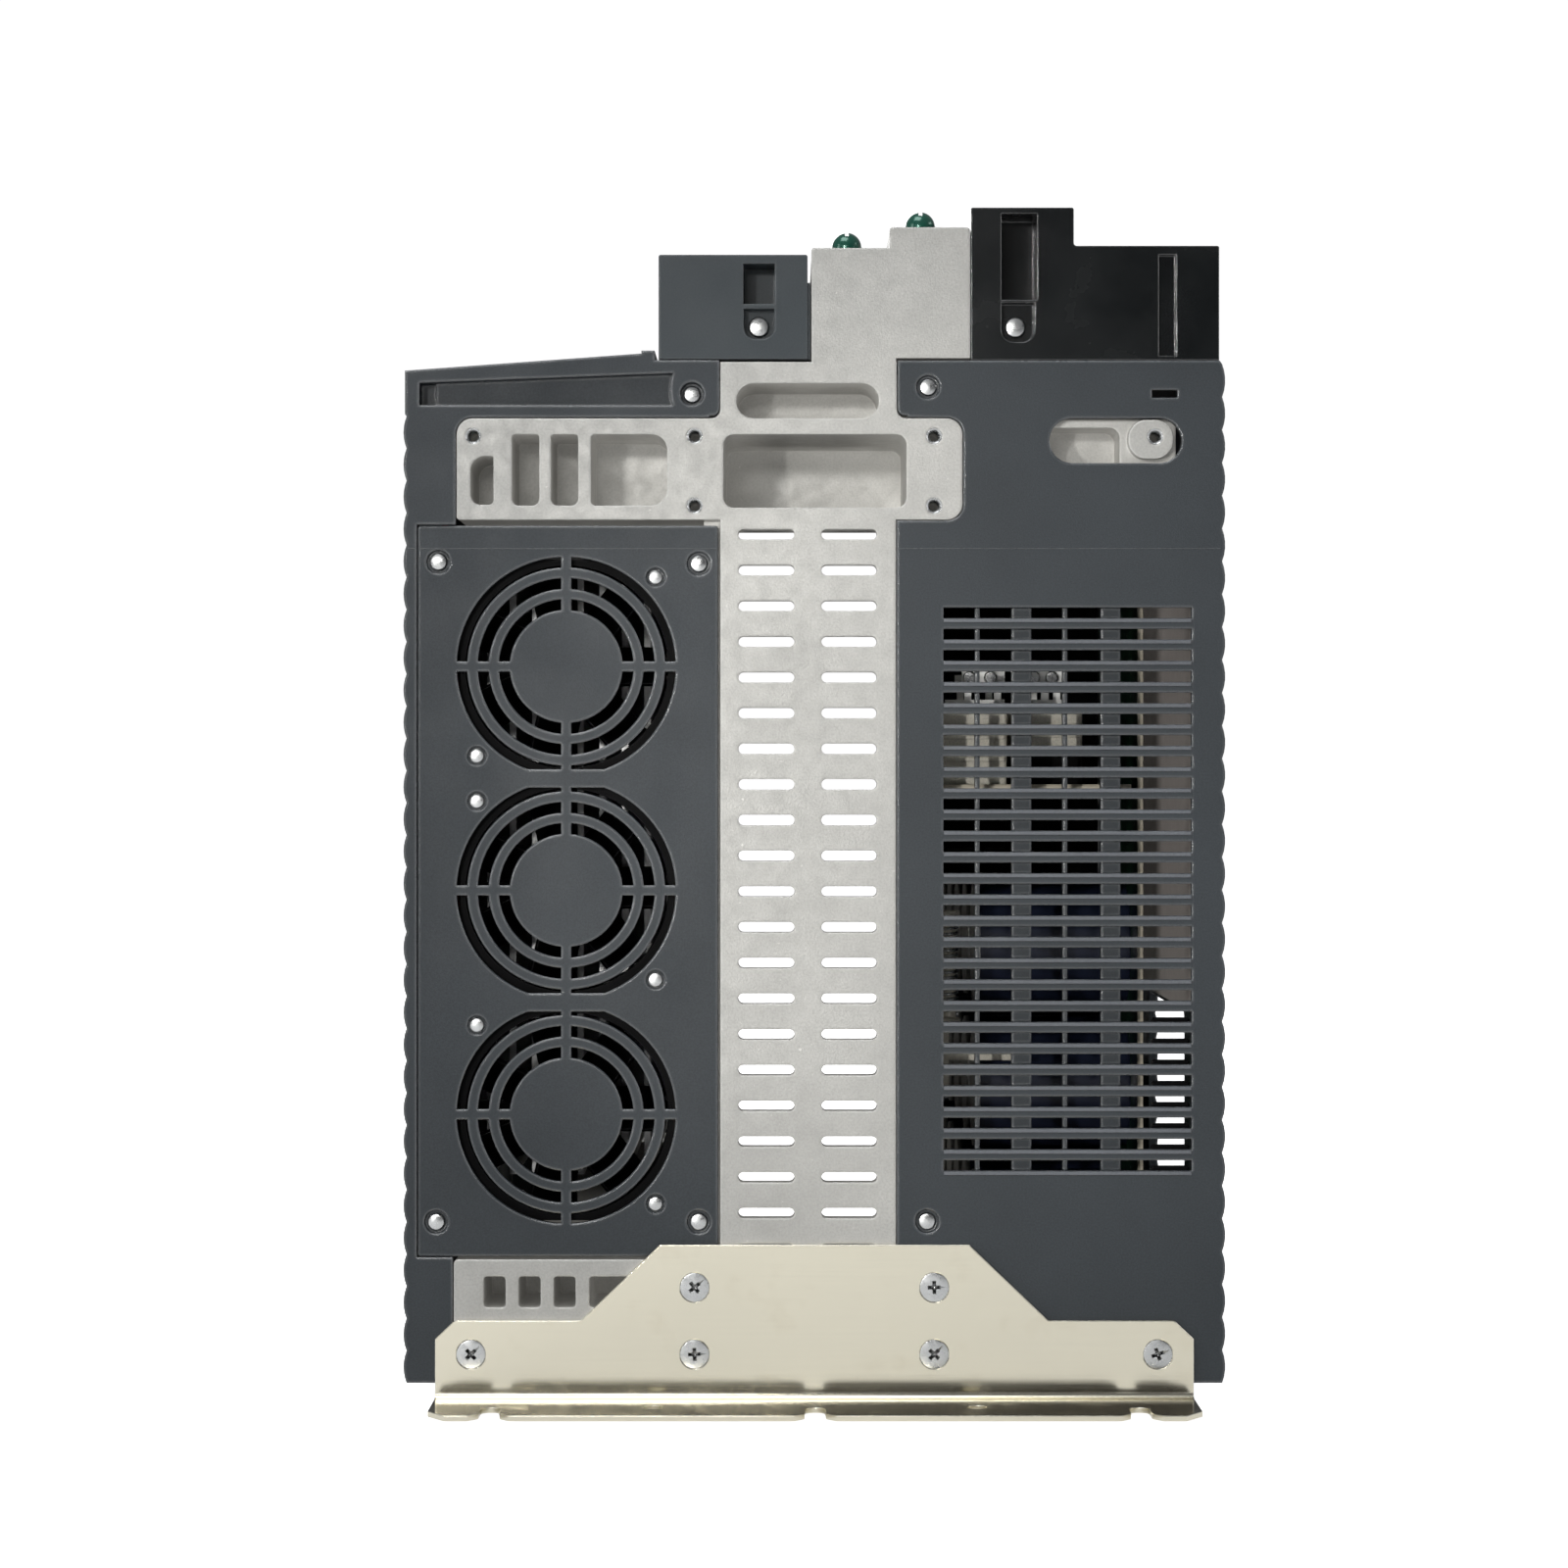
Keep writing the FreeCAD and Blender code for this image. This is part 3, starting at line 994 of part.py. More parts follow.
motor = body("motor_terminal_block")
pad(motor, "block", "y", NEAR, -125, [poly([
    (-43.6, 292.0), (-1.9, 292.0), (-1.9, 321.2, 0.6), (-43.6, 321.2, 0.6)])])
pad(motor, "foot", "y", NEAR + " + 1", -126, [rect(-2.5, 292.0, -1.1, 313.5)])
cut(motor, "latch_window", "y", NEAR, -168, [rect(-19.9, 307.4, -11.1, 318.7)])
cut(motor, "screw_bay", "y", NEAR, -175.5, [poly([
    (-19.8, 297.6, 3.4), (-11.2, 297.6, 3.4), (-11.2, 306.1), (-19.8, 306.1)])])
cut(motor, "screw_core", "y", NEAR, -165, circles([motor_screw], 1.25))
wire = cut(motor, "wire_entry", "z", 305, 322, [rect(-41, -164, -30, -154)])
access = cut(motor, "driver_access", "z", 303, 322, circles([motor_clamp], 3.2))
pattern(motor, "poles", [wire, access], "y", motor_pitch, POLES)
cut(motor, "rear_relief", "y", -130, -125, [rect(-40, 295, -6, 318)])
piece(motor)

mains = body("mains_terminal_block")
pad(mains, "block", "y", NEAR, -118, [poly([
    (43.8, 291.7), (113.3, 291.7), (113.3, 323.7, 0.6), (72.6, 323.7, 0.8),
    (72.6, 334.4, 0.6), (43.8, 334.4, 0.6)])])
cut(mains, "latch_window", "y", NEAR, -166, [rect(52.3, 308.6, 62.3, 332.7)])
cut(mains, "screw_bay", "y", NEAR, -176, [poly([
    (52.3, 296.8, 3.6), (61.6, 296.8, 3.6), (61.6, 307.8), (52.3, 307.8)])])
cut(mains, "screw_core", "y", NEAR, -165, circles([mains_screw], 1.25))
cut(mains, "side_channel", "y", NEAR, -178.2, [rect(96.4, 292.9, 101.2, 321.2)])
wire = cut(mains, "wire_entry", "z", 308, 324, [rect(90, -166, 103, -154)])
access = cut(mains, "driver_access", "z", 306, 324, circles([mains_clamp], 3.4))
pattern(mains, "poles", [wire, access], "y", mains_pitch, POLES)
piece(mains)

screws = []
# tag, first screw, pitch, bottom level, radius, bottom of the driver slot
for tag, (x, first_y), pitch, bottom, radius, slot_bottom in (
        ("m", motor_clamp, motor_pitch, 303.05, 2.9, 308),
        ("n", mains_clamp, mains_pitch, 306.05, 3.1, 311)):
    for i in range(POLES):
        y = first_y + pitch * i
        barrel = cyl("clamp_%s_%d" % (tag, i), (x, y, bottom), "z", radius, 6)
        slot = box("clamp_slot_%s_%d" % (tag, i), (x - 4, y - 0.5, slot_bottom),
                   (x + 4, y + 0.5, slot_bottom + 2))
        screws.append(subtract("clamp_screw_%s_%d" % (tag, i), barrel, slot))
group_piece("clamp_screws", screws)
pan_screws("terminal_screws", [(x, y, z, 2.9, 1.6, 1.2, 10)
                               for (x, z), y in ((motor_screw, -175.5), (mains_screw, -176.0))])

# ================================================================== DC-link side
cap_board_x = 92.2
cap_board = body("capacitor_board")
pad(cap_board, "board", "x", cap_board_x, "%s + dims.board_thick" % cap_board_x, [poly([
    (-147, 20, 2), (147, 20, 2), (147, 42), (162, 42, 2), (162, 240, 2),
    (-162, 240, 2), (-162, 42, 2), (-147, 42)])])
piece(cap_board)
group_piece("dc_capacitors", [
    cyl("can_%d_%d" % (i, j),
        ("%s - dims.cap_long" % cap_board_x, -125 + 50 * i, 42 + 42 * j), "x",
        "dims.cap_radius", "dims.cap_long - 0.02")
    for j in range(3) for i in range(6)])

relay_board = body("relay_board")
pad(relay_board, "board", "z", 171.4, "171.4 + dims.board_thick", [rect(30.9, -166, 90, -40)])
piece(relay_board)

# two columns of relays; those of the right column stand on sockets
relay_board_top = 173
socket_top = 183
relay_top = 193.7
relays, sockets = [], []
for i, (x, base) in enumerate(((36.0, relay_board_top), (57.5, socket_top))):
    for j, y in enumerate((-162, -118)):
        relay = body("relay_%d_%d" % (i, j))
        pad(relay, "relay_case_%d_%d" % (i, j), "z", base, relay_top,
            [round_rect(x, y, x + 19, y + 38, 1)])
        relays.append(relay)
        if base == socket_top:
            sockets.append(box("socket_%d" % j, (x, y + 1, relay_board_top),
                               (x + 19, y + 37, socket_top)))
group_piece("relay_blocks", relays)
group_piece("relay_sockets", sockets)

strips = []
# x, width, offset of the head from x
for i, (x, width, head) in enumerate(((37.6, 17.0, 4.8), (59.5, 12.0, 1.5))):
    for j, y in enumerate((-158, -114)):
        tag = "%d_%d" % (i, j)
        strips.append(fuse("terminal_strip_" + tag, [
            box("strip_foot_" + tag, (x, y, relay_top), (x + width, y + 1, 197.2)),
            box("strip_leg_a_" + tag, (x + 5.5, y, 197), (x + 7.5, y + 1, 202)),
            box("strip_leg_b_" + tag, (x + width - 3, y, 197), (x + width - 1, y + 1, 202)),
            box("strip_head_" + tag, (x + head, y, 201.4), (x + width, y + 1, 205.6))]))
group_piece("relay_terminals", strips)

# barrier between the supply and the DC-link side, foot on the relay board
screen_left, screen_right = 31.3, 91.8
screen_near, screen_far = -37.5, -36.7
piece(fuse("divider_screen", [
    box("screen_" + tag, (x0, screen_near, z0), (x1, screen_far, z1))
    for tag, x0, x1, z0, z1 in (
        ("sheet", screen_left, screen_right, 152.55, 236),
        ("hem", screen_left, screen_right, 144.0, 150.45),
        ("left", screen_left, 39.9, 150.4, 152.6),
        ("mid", 52.1, 55.9, 150.4, 152.6),
        ("right", 68.1, screen_right, 150.4, 152.6))
] + [box("screen_foot", (40, -48, relay_board_top), (85, screen_far, 173.8))]))
# insulating liner on the inside of the right wall
piece(box("side_liner", (111.1, -168, 106), (111.95, 150, 238)))
# ceramic terminal strip to the left of the capacitors
piece(fuse("brake_terminals", [
    box("strip_body", (31.2, -160, 84), (38.6, -146, 102.5)),
    box("strip_arm", (38.0, -160, 94.2), (57.4, -150, 97.8))]))

bus_bars = body("bus_bars")
pad(bus_bars, "bars", "z", 150.5, 152.5, [rect(40, -150, 52, 150), rect(56, -150, 68, 150)])
piece(bus_bars)

choke_bracket = body("choke_bracket")
pad(choke_bracket, "upright", "x", 30.7, 32.7, [rect(38, 176, 132, 240)])
pad(choke_bracket, "shelf", "z", 176, 178, [rect(30.7, 38, 88, 132)])
piece(choke_bracket)
piece(subtract("choke_core", box("core_block", (36, 40, 178.05), (84, 130, 236)),
               fuse("core_windows", [box("core_window_a", (30, 52, 191), (90, 76, 224)),
                                     box("core_window_b", (30, 94, 191), (90, 118, 224))])))
piece(subtract("choke_coil", box("coil_block", (33.4, 54, 193), (86.6, 116, 222)),
               box("coil_hole", (35.8, 75.8, 190), (84.2, 94.2, 230))))

# ================================================================== outlet grille
grille_back, grille_face = 180.05, 182.05
grille = body("outlet_grille")
pad(grille, "plate", "y", grille_back, grille_face, [round_rect(-110.5, 44.4, -33.4, 243.5, 1)])
slots = cut(grille, "slots", "y", grille_back, grille_face,
            [stadium(-100.5, 52, -71, 55.6), stadium(-67, 52, -38, 55.6)])
pattern(grille, "slot_rows", [slots], "z", 7.0, 27)
cut(grille, "passes", "y", grille_back, grille_face, circles(GRILLE_SCREWS, 1.7))
piece(grille)
pan_screws("outlet_grille_screws", [(x, grille_face + 0.05, z, 2.4, 1.6, 1.15, 12)
                                    for x, z in GRILLE_SCREWS])

# ============================================================== check and export
doc.recompute()
bad = []
for obj in doc.Objects:
    if "Invalid" in obj.State or "Error" in obj.State:
        bad.append("%s %s" % (obj.Name, obj.State))
# every pad has to add material and every pocket has to remove some
for owner in [obj for obj in doc.Objects if obj.TypeId == "PartDesign::Body"]:
    last = None
    for feature in owner.Group:
        if not feature.TypeId.startswith("PartDesign::"):
            continue
        if feature.Shape.isNull():
            bad.append("%s is empty" % feature.Name)
            continue
        volume = feature.Shape.Volume
        if last is not None:
            if feature.TypeId == "PartDesign::Pocket" and volume > last - 1e-3:
                bad.append("%s cuts nothing" % feature.Name)
            if feature.TypeId == "PartDesign::Pad" and volume < last + 1e-3:
                bad.append("%s adds nothing" % feature.Name)
        last = volume
if bad:
    raise RuntimeError("; ".join(bad))

os.makedirs("parts", exist_ok=True)
for obj in pieces:
    shape = obj.Shape
    if shape.isNull() or not shape.isValid() or not shape.Solids:
        raise RuntimeError("%s has no valid shape" % obj.Label)
    shape.exportStep("parts/%s.step" % obj.Label)
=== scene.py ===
# Electronics unit with a cast housing, three fans, louvred covers and a terminal block.
# It stands on z = 0 with its front towards -Y, its left side towards -X and +Z up.
# Places and sizes of pieces are in millimetres; materials, lights and camera are in metres.
import bpy
import bmesh
import json
import math
import random
from mathutils import Matrix, Vector


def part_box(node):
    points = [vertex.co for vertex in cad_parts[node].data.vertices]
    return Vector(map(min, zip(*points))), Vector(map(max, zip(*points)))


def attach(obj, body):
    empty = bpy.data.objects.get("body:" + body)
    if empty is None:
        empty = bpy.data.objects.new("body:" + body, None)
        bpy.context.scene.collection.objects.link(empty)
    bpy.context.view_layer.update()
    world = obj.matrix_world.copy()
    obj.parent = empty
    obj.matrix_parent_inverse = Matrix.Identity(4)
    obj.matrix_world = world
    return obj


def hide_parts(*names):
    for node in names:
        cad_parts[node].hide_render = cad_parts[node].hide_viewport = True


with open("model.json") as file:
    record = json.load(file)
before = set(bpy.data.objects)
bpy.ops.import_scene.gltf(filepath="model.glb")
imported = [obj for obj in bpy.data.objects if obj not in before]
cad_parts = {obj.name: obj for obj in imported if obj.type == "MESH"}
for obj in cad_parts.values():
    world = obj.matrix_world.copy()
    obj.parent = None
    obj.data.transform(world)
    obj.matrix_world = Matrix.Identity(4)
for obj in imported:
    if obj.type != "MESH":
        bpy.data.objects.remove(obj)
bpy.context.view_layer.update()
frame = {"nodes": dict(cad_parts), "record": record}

rng = random.Random(332)
scene = bpy.context.scene
MM = 0.001
NOISE_RANGE = (0.3, 0.7)     # the middle of a noise texture, where most of its values fall
FRONT, BACK, UP = (0, -1, 0), (0, 1, 0), (0, 0, 1)


# =============================================================== shader building
def tint(color, gain, lift=0.0):
    return tuple(min(1, c * gain + lift) for c in color)


class Shader:
    """Node tree of a material or the world. Any input takes a socket or a plain value."""

    def __init__(self, owner, output):
        owner.use_nodes = True
        self.tree = owner.node_tree
        self.tree.nodes.clear()
        self.output = self.node(output)

    def plug(self, socket, value):
        if isinstance(value, bpy.types.NodeSocket):
            self.tree.links.new(value, socket)
        else:
            socket.default_value = (*value, 1) if socket.type == "RGBA" else value

    def node(self, kind, sockets=None, **settings):
        node = self.tree.nodes.new("ShaderNode" + kind)
        for setting, value in settings.items():
            setattr(node, setting, value)
        for key, value in (sockets or {}).items():
            self.plug(node.inputs[key], value)
        return node

    def ramp(self, factor, at, to=(0.0, 1.0)):
        """Colour ramp between two stops; to holds greys or colours."""
        node = self.node("ValToRGB")
        for stop, position, c in zip(node.color_ramp.elements, at, to):
            stop.position = position
            stop.color = (*c, 1) if isinstance(c, tuple) else (c, c, c, 1)
        self.plug(node.inputs[0], factor)
        return node.outputs[0]

    def span(self, value, over=NOISE_RANGE, to=(0.0, 1.0), **settings):
        """Map the range over onto the range to, clamped."""
        return self.node("MapRange", {
            "From Min": over[0], "From Max": over[1], "To Min": to[0], "To Max": to[1],
            "Value": value}, **settings).outputs[0]

    def mix(self, factor, a, b, blend="MIX"):
        node = self.node("Mix", data_type="RGBA", blend_type=blend)
        for key, value in ((0, factor), (6, a), (7, b)):
            self.plug(node.inputs[key], value)
        return node.outputs[2]

    def math(self, operation, a, b=0.0):
        return self.node("Math", {0: a, 1: b}, operation=operation).outputs[0]

    def times(self, a, b):
        return self.math("MULTIPLY", a, b)

    def component(self, vector, index):
        return self.node("SeparateXYZ", {0: vector}).outputs[index]


class Kit(Shader):
    """A principled material textured in object coordinates."""

    def __init__(self, name):
        self.material = bpy.data.materials.new(name)
        super().__init__(self.material, "OutputMaterial")
        self.surface = self.node("BsdfPrincipled")
        self.plug(self.output.inputs[0], self.surface.outputs[0])
        self.coords = self.node("TexCoord").outputs["Object"]
        self.normal = None

    def set(self, key, value):
        self.plug(self.surface.inputs[key], value)

    def noise(self, scale, detail=3.0, rough=0.55, stretch=None):
        vector = self.coords
        if stretch:
            vector = self.node("Mapping", {"Scale": stretch, 0: vector}).outputs[0]
        return self.node("TexNoise", {"Scale": scale, "Detail": detail, "Roughness": rough,
                                      "Vector": vector}).outputs["Fac"]

    def voronoi(self, scale, output="Distance"):
        return self.node("TexVoronoi", {"Scale": scale, "Vector": self.coords}).outputs[output]

    def wave(self, scale, direction):
        return self.node("TexWave", {"Scale": scale, 0: self.coords},
                         bands_direction=direction).outputs["Fac"]

    def rounded(self, radius):
        """Normal with the edges rounded off."""
        return self.node("Bevel", {"Radius": radius}, samples=4).outputs[0]

    def edge_mask(self, radius, gain=1.0):
        """High near convex or concave edges: where the rounded normal leaves the true one."""
        rounded = self.rounded(radius)
        true = self.node("NewGeometry").outputs["Normal"]
        dot = self.node("VectorMath", {0: rounded, 1: true}, operation="DOT_PRODUCT")
        return self.span(dot.outputs["Value"], over=(1.0, 0.80), to=(0.0, gain))

    def occlusion(self, distance):
        """1 in the open, falling towards 0 inside recesses."""
        return self.node("AmbientOcclusion", {"Distance": distance}, samples=6).outputs["AO"]

    def round_edges(self, radius):
        """Start the normal from rounded edges; bump layers go on top of it."""
        self.normal = self.rounded(radius)

    def bump(self, height, depth, strength):
        """Add a relief layer, depth in metres, and make it the surface normal."""
        sockets = {"Distance": depth, "Strength": strength, "Height": height}
        if self.normal is not None:
            sockets["Normal"] = self.normal
        self.normal = self.node("Bump", sockets).outputs[0]
        self.set("Normal", self.normal)


# ===================================================================== materials
def plastic(name, base, rough, grain=0.00004, bevel=0.00035, edge=0.35, spec=0.5,
            mottle=0.14, shine=0.5, broken=0.7):
    """Moulded plastic with a painted highlight on edges that face up and painted shade on edges
    that face down.
    grain: relief depth; edge: how pale the painted highlight on upper edges gets; mottle:
    contrast of the speckle; shine: specular level on edges; broken: how patchy the painted edge
    highlight is, broken up like wear."""
    kit = Kit(name)
    blotch = kit.ramp(kit.noise(scale=22.0, detail=4.0), at=NOISE_RANGE)
    speckle = kit.ramp(kit.noise(scale=1900.0, rough=0.7), at=(0.34, 0.66))
    color = kit.mix(blotch, tint(base, 0.90), tint(base, 1.10))
    color = kit.mix(speckle, *(kit.mix(1.0, color, (gain,) * 3, "MULTIPLY")
                               for gain in (1 - mottle, 1 + mottle)))
    mask_radius = bevel * 1.6
    mask = kit.edge_mask(mask_radius)
    # edge mask broken up in patches like wear; it carries the painted highlight
    wear_and_highlight = kit.times(mask, kit.ramp(kit.noise(scale=160.0, detail=4.0), at=(0.35, 0.65),
                                    to=(1.0 - broken, 1.0)))
    # painted highlight on edges that face up, painted shade on edges that face down
    height = kit.component(kit.rounded(mask_radius), 2)
    lit = kit.times(wear_and_highlight, kit.span(height, over=(-0.15, 0.35), to=(0.12, 1.0)))
    color = kit.mix(kit.times(lit, edge), color, tint(base, 3.4, lift=0.03))
    # painted shade: edges that face down turn dark
    painted_shade_below = kit.times(mask, kit.span(height, over=(-0.45, -0.10), to=(0.65, 0.0)))
    color = kit.mix(painted_shade_below, color, tint(base, 0.30))
    kit.set("Base Color", color)
    worn = kit.span(kit.noise(scale=60.0, detail=5.0), to=(rough - 0.05, rough + 0.06))
    kit.set("Roughness", kit.math("SUBTRACT", worn, kit.times(mask, rough * 0.45)))
    kit.set("Specular IOR Level", kit.span(mask, over=(0.0, 1.0), to=(spec, max(spec, shine))))
    grain_scale = 2600.0
    kit.round_edges(bevel)
    kit.bump(kit.voronoi(scale=grain_scale), depth=grain, strength=0.55)
    kit.bump(kit.noise(scale=grain_scale * 1.7, detail=2.0), depth=grain * 0.6, strength=0.4)
    return kit.material


def cast_metal(name, base):
    """Cast metal with a painted highlight on its edges and painted light: a faint emission that
    brightens its shallow pockets.
    """
    kit = Kit(name)
    blotch = kit.noise(scale=30.0, detail=6.0, rough=0.65)
    speck = kit.noise(scale=1500.0, rough=0.7)
    color = kit.mix(kit.ramp(blotch, at=(0.32, 0.68)), tint(base, 0.90), tint(base, 1.07))
    color = kit.mix(kit.ramp(speck, at=(0.36, 0.58), to=(0.42, 0.0)), color, tint(base, 0.66))
    glint = kit.ramp(kit.noise(scale=620.0, detail=5.0, rough=0.75), at=(0.66, 0.72),
                     to=(0.0, 0.8))
    color = kit.mix(glint, color, tint(base, 1.5))
    # painted highlight: edges turn pale
    edge_radius = 0.0009
    kit.set("Base Color", kit.mix(kit.edge_mask(edge_radius), color, tint(base, 1.62)))
    kit.set("Metallic", 0.55)
    # painted light: emission that brightens partly enclosed pockets, found by ambient occlusion
    openness = kit.occlusion(distance=0.018)
    painted_pocket_light = kit.times(kit.span(openness, over=(0.05, 0.32), to=(0.25, 1.0)),
                       kit.span(openness, over=(0.55, 0.97), to=(1.0, 0.0)))
    kit.set("Emission Color", (0.97, 0.94, 0.87))
    kit.set("Emission Strength", kit.times(painted_pocket_light, kit.span(blotch, to=(0.085, 0.115))))
    kit.set("Roughness", kit.span(kit.noise(scale=260.0, detail=4.0), to=(0.43, 0.58)))
    kit.round_edges(edge_radius)
    kit.bump(kit.noise(scale=1300.0, detail=4.0, rough=0.65), depth=0.00006, strength=0.6)
    kit.bump(kit.voronoi(scale=2100.0), depth=0.00005, strength=0.4)
    kit.bump(kit.noise(scale=90.0), depth=0.0003, strength=0.10)
    return kit.material


def liner(name, base):
    """Pale paper liner with painted light: emission in its front part stands in for daylight
    through the side wall, with a weaker emission everywhere.
    """
    kit = Kit(name)
    fibre = kit.noise(scale=300.0, detail=5.0, rough=0.7)
    kit.set("Base Color", kit.mix(fibre, tint(base, 0.85), base))
    kit.set("Roughness", 0.8)
    kit.set("Specular IOR Level", 0.15)
    y = kit.component(kit.coords, 1)
    painted_glow = kit.times(kit.span(y, over=(-0.135, -0.110)),
                     kit.span(y, over=(-0.050, -0.030), to=(1.0, 0.0)))
    # painted light: emission strengths for the front part and for everywhere
    painted_daylight, painted_ambient = 0.075, 0.02      # emission in the front part and everywhere
    painted_glow = kit.math("ADD", kit.times(painted_glow, painted_daylight), painted_ambient)
    kit.set("Emission Color", (1.0, 0.90, 0.84))
    kit.set("Emission Strength", kit.times(painted_glow, kit.span(fibre, to=(0.85, 1.1))))
    kit.round_edges(0.0002)
    kit.bump(fibre, depth=0.00005, strength=0.4)
    return kit.material


def sheet_metal(name, base):
    """Sheet brushed along X, with stains and yellowish smudges."""
    kit = Kit(name)
    streak = kit.noise(scale=20.0, detail=6.0, rough=0.7, stretch=(1.0, 60.0, 60.0))
    stain = kit.noise(scale=18.0, detail=5.0, rough=0.6)
    smudge = kit.ramp(kit.noise(scale=55.0, detail=4.0, rough=0.6), at=(0.56, 0.68))
    streak_mix, smudge_mix, smudge_rough = 0.07, 0.10, 0.06     # how much each one shows
    color = kit.mix(kit.ramp(stain, at=(0.35, 0.7)), tint(base, 0.96), base)
    color = kit.mix(kit.times(streak, streak_mix), color, tint(base, 0.8))
    color = kit.mix(kit.times(smudge, smudge_mix), color, (0.62, 0.52, 0.34))
    edge_radius = 0.0005
    # painted highlight: edges turn pale cream
    color = kit.mix(kit.edge_mask(edge_radius, gain=0.5), color, (0.95, 0.93, 0.88))
    kit.set("Base Color", color)
    kit.set("Metallic", 1.0)
    kit.set("Roughness", kit.math("ADD", kit.span(streak, to=(0.10, 0.16)),
                                  kit.times(smudge, smudge_rough)))
    kit.round_edges(edge_radius)
    kit.bump(streak, depth=0.00001, strength=0.12)
    kit.bump(kit.noise(scale=9.0, detail=2.0), depth=0.0004, strength=0.06)
    return kit.material


def bright_metal(name, base, rough=0.25):
    """Plated or polished metal with painted shade: dark inside small recesses."""
    kit = Kit(name)
    cloud = kit.noise(scale=420.0, detail=4.0, rough=0.6)
    color = kit.mix(cloud, tint(base, 0.78), base)
    # painted shade: near black where ambient occlusion finds a small recess
    openness = kit.span(kit.occlusion(distance=0.0018), over=(0.30, 0.80), to=(0.10, 1.0))
    kit.set("Base Color", kit.mix(openness, (0.02, 0.02, 0.02), color))
    kit.set("Metallic", 1.0)
    kit.set("Roughness", kit.span(cloud, to=(rough - 0.06, rough + 0.1)))
    kit.round_edges(0.0002)
    kit.bump(kit.noise(scale=1800.0), depth=0.00002, strength=0.35)
    kit.bump(kit.noise(scale=700.0), depth=0.00008, strength=0.30)
    return kit.material


def solder(name, base):
    """Dull bright tin, uneven from dipping."""
    kit = Kit(name)
    lump = kit.noise(scale=260.0, detail=4.0, rough=0.6)
    kit.set("Base Color", kit.mix(lump, tint(base, 0.85), base))
    kit.set("Metallic", 0.15)
    kit.set("Roughness", kit.span(lump, to=(0.30, 0.48)))
    kit.round_edges(0.0003)
    kit.bump(lump, depth=0.0002, strength=0.5)
    return kit.material


def extruded(name, base):
    """Extruded metal with streaks along Y."""
    kit = Kit(name)
    streak = kit.noise(scale=60.0, detail=5.0, rough=0.7, stretch=(30.0, 0.6, 30.0))
    kit.set("Base Color", kit.mix(streak, tint(base, 0.75), base))
    kit.set("Metallic", 0.9)
    kit.set("Roughness", kit.span(streak, to=(0.32, 0.5)))
    kit.round_edges(0.0003)
    kit.bump(streak, depth=0.00004, strength=0.4)
    return kit.material


def board(name, shade=1.0):
    """Printed board with copper areas and pads; faces towards -Y and +Y show the laminate."""
    kit = Kit(name)
    cells = kit.node("SeparateColor", {0: kit.voronoi(scale=160.0, output="Color")})
    copper = kit.ramp(cells.outputs[0], at=(0.45, 0.47))
    copper_mix, pad_metal = 0.5, 0.9     # how much copper shows, how metallic pads are
    color = kit.mix(kit.times(copper, copper_mix), tint((0.012, 0.085, 0.035), shade),
                    tint((0.02, 0.16, 0.07), shade))
    pads = kit.ramp(kit.voronoi(scale=260.0), at=(0.10, 0.13), to=(1.0, 0.0))
    color = kit.mix(pads, color, (0.62, 0.62, 0.6))
    facing_y = kit.component(kit.node("NewGeometry").outputs["True Normal"], 1)
    side_limit = 0.7                     # share of Y in the normal that counts as a side
    side = kit.math("GREATER_THAN", kit.math("ABSOLUTE", facing_y), side_limit)
    fibre = kit.noise(scale=400.0, detail=4.0, stretch=(1.0, 1.0, 14.0))
    color = kit.mix(side, color, kit.mix(fibre, (0.46, 0.41, 0.31), (0.76, 0.70, 0.58)))
    kit.set("Base Color", color)
    kit.set("Metallic", kit.times(kit.times(pads, pad_metal), kit.math("SUBTRACT", 1.0, side)))
    kit.set("Roughness", 0.33)
    kit.round_edges(0.0002)
    kit.bump(copper, depth=0.00004, strength=0.5)
    kit.bump(pads, depth=0.00006, strength=0.4)
    return kit.material


def sleeve(name):
    """Capacitor cans: dark shrink sleeve, bare aluminium end towards -X."""
    kit = Kit(name)
    start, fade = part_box("dc_capacitors")[0].x, 0.004
    along = kit.span(kit.component(kit.coords, 0), over=(start, start + fade))
    end = kit.ramp(along, at=(0.30, 0.34), to=(1.0, 0.0))
    kit.set("Base Color", kit.mix(end, (0.012, 0.016, 0.035), (0.62, 0.62, 0.6)))
    kit.set("Metallic", end)
    kit.set("Roughness", 0.3)
    kit.round_edges(0.0012)
    kit.bump(kit.noise(scale=90.0, detail=4.0), depth=0.0002, strength=0.25)
    return kit.material


def banded(name, scale, direction, colors, metal, rough, depth, strength, rounding):
    """Even bands across one axis: stacked sheets or wound wire."""
    kit = Kit(name)
    bands = kit.wave(scale, direction)
    kit.set("Base Color", kit.mix(bands, *colors))
    kit.set("Metallic", metal)
    kit.set("Roughness", rough)
    kit.round_edges(rounding)
    kit.bump(bands, depth, strength)
    return kit.material


def lacquer(name, base, rough=0.22):
    """Clear-coated colour."""
    kit = Kit(name)
    kit.set("Base Color", kit.mix(kit.noise(scale=120.0, detail=4.0), tint(base, 0.7),
                                  tint(base, 1.3)))
    kit.set("Metallic", 0.35)
    kit.set("Roughness", rough)
    kit.set("Coat Weight", 0.6)
    kit.set("Coat Roughness", 0.08)
    kit.round_edges(0.0003)
    kit.bump(kit.noise(scale=700.0), depth=0.00003, strength=0.3)
    return kit.material


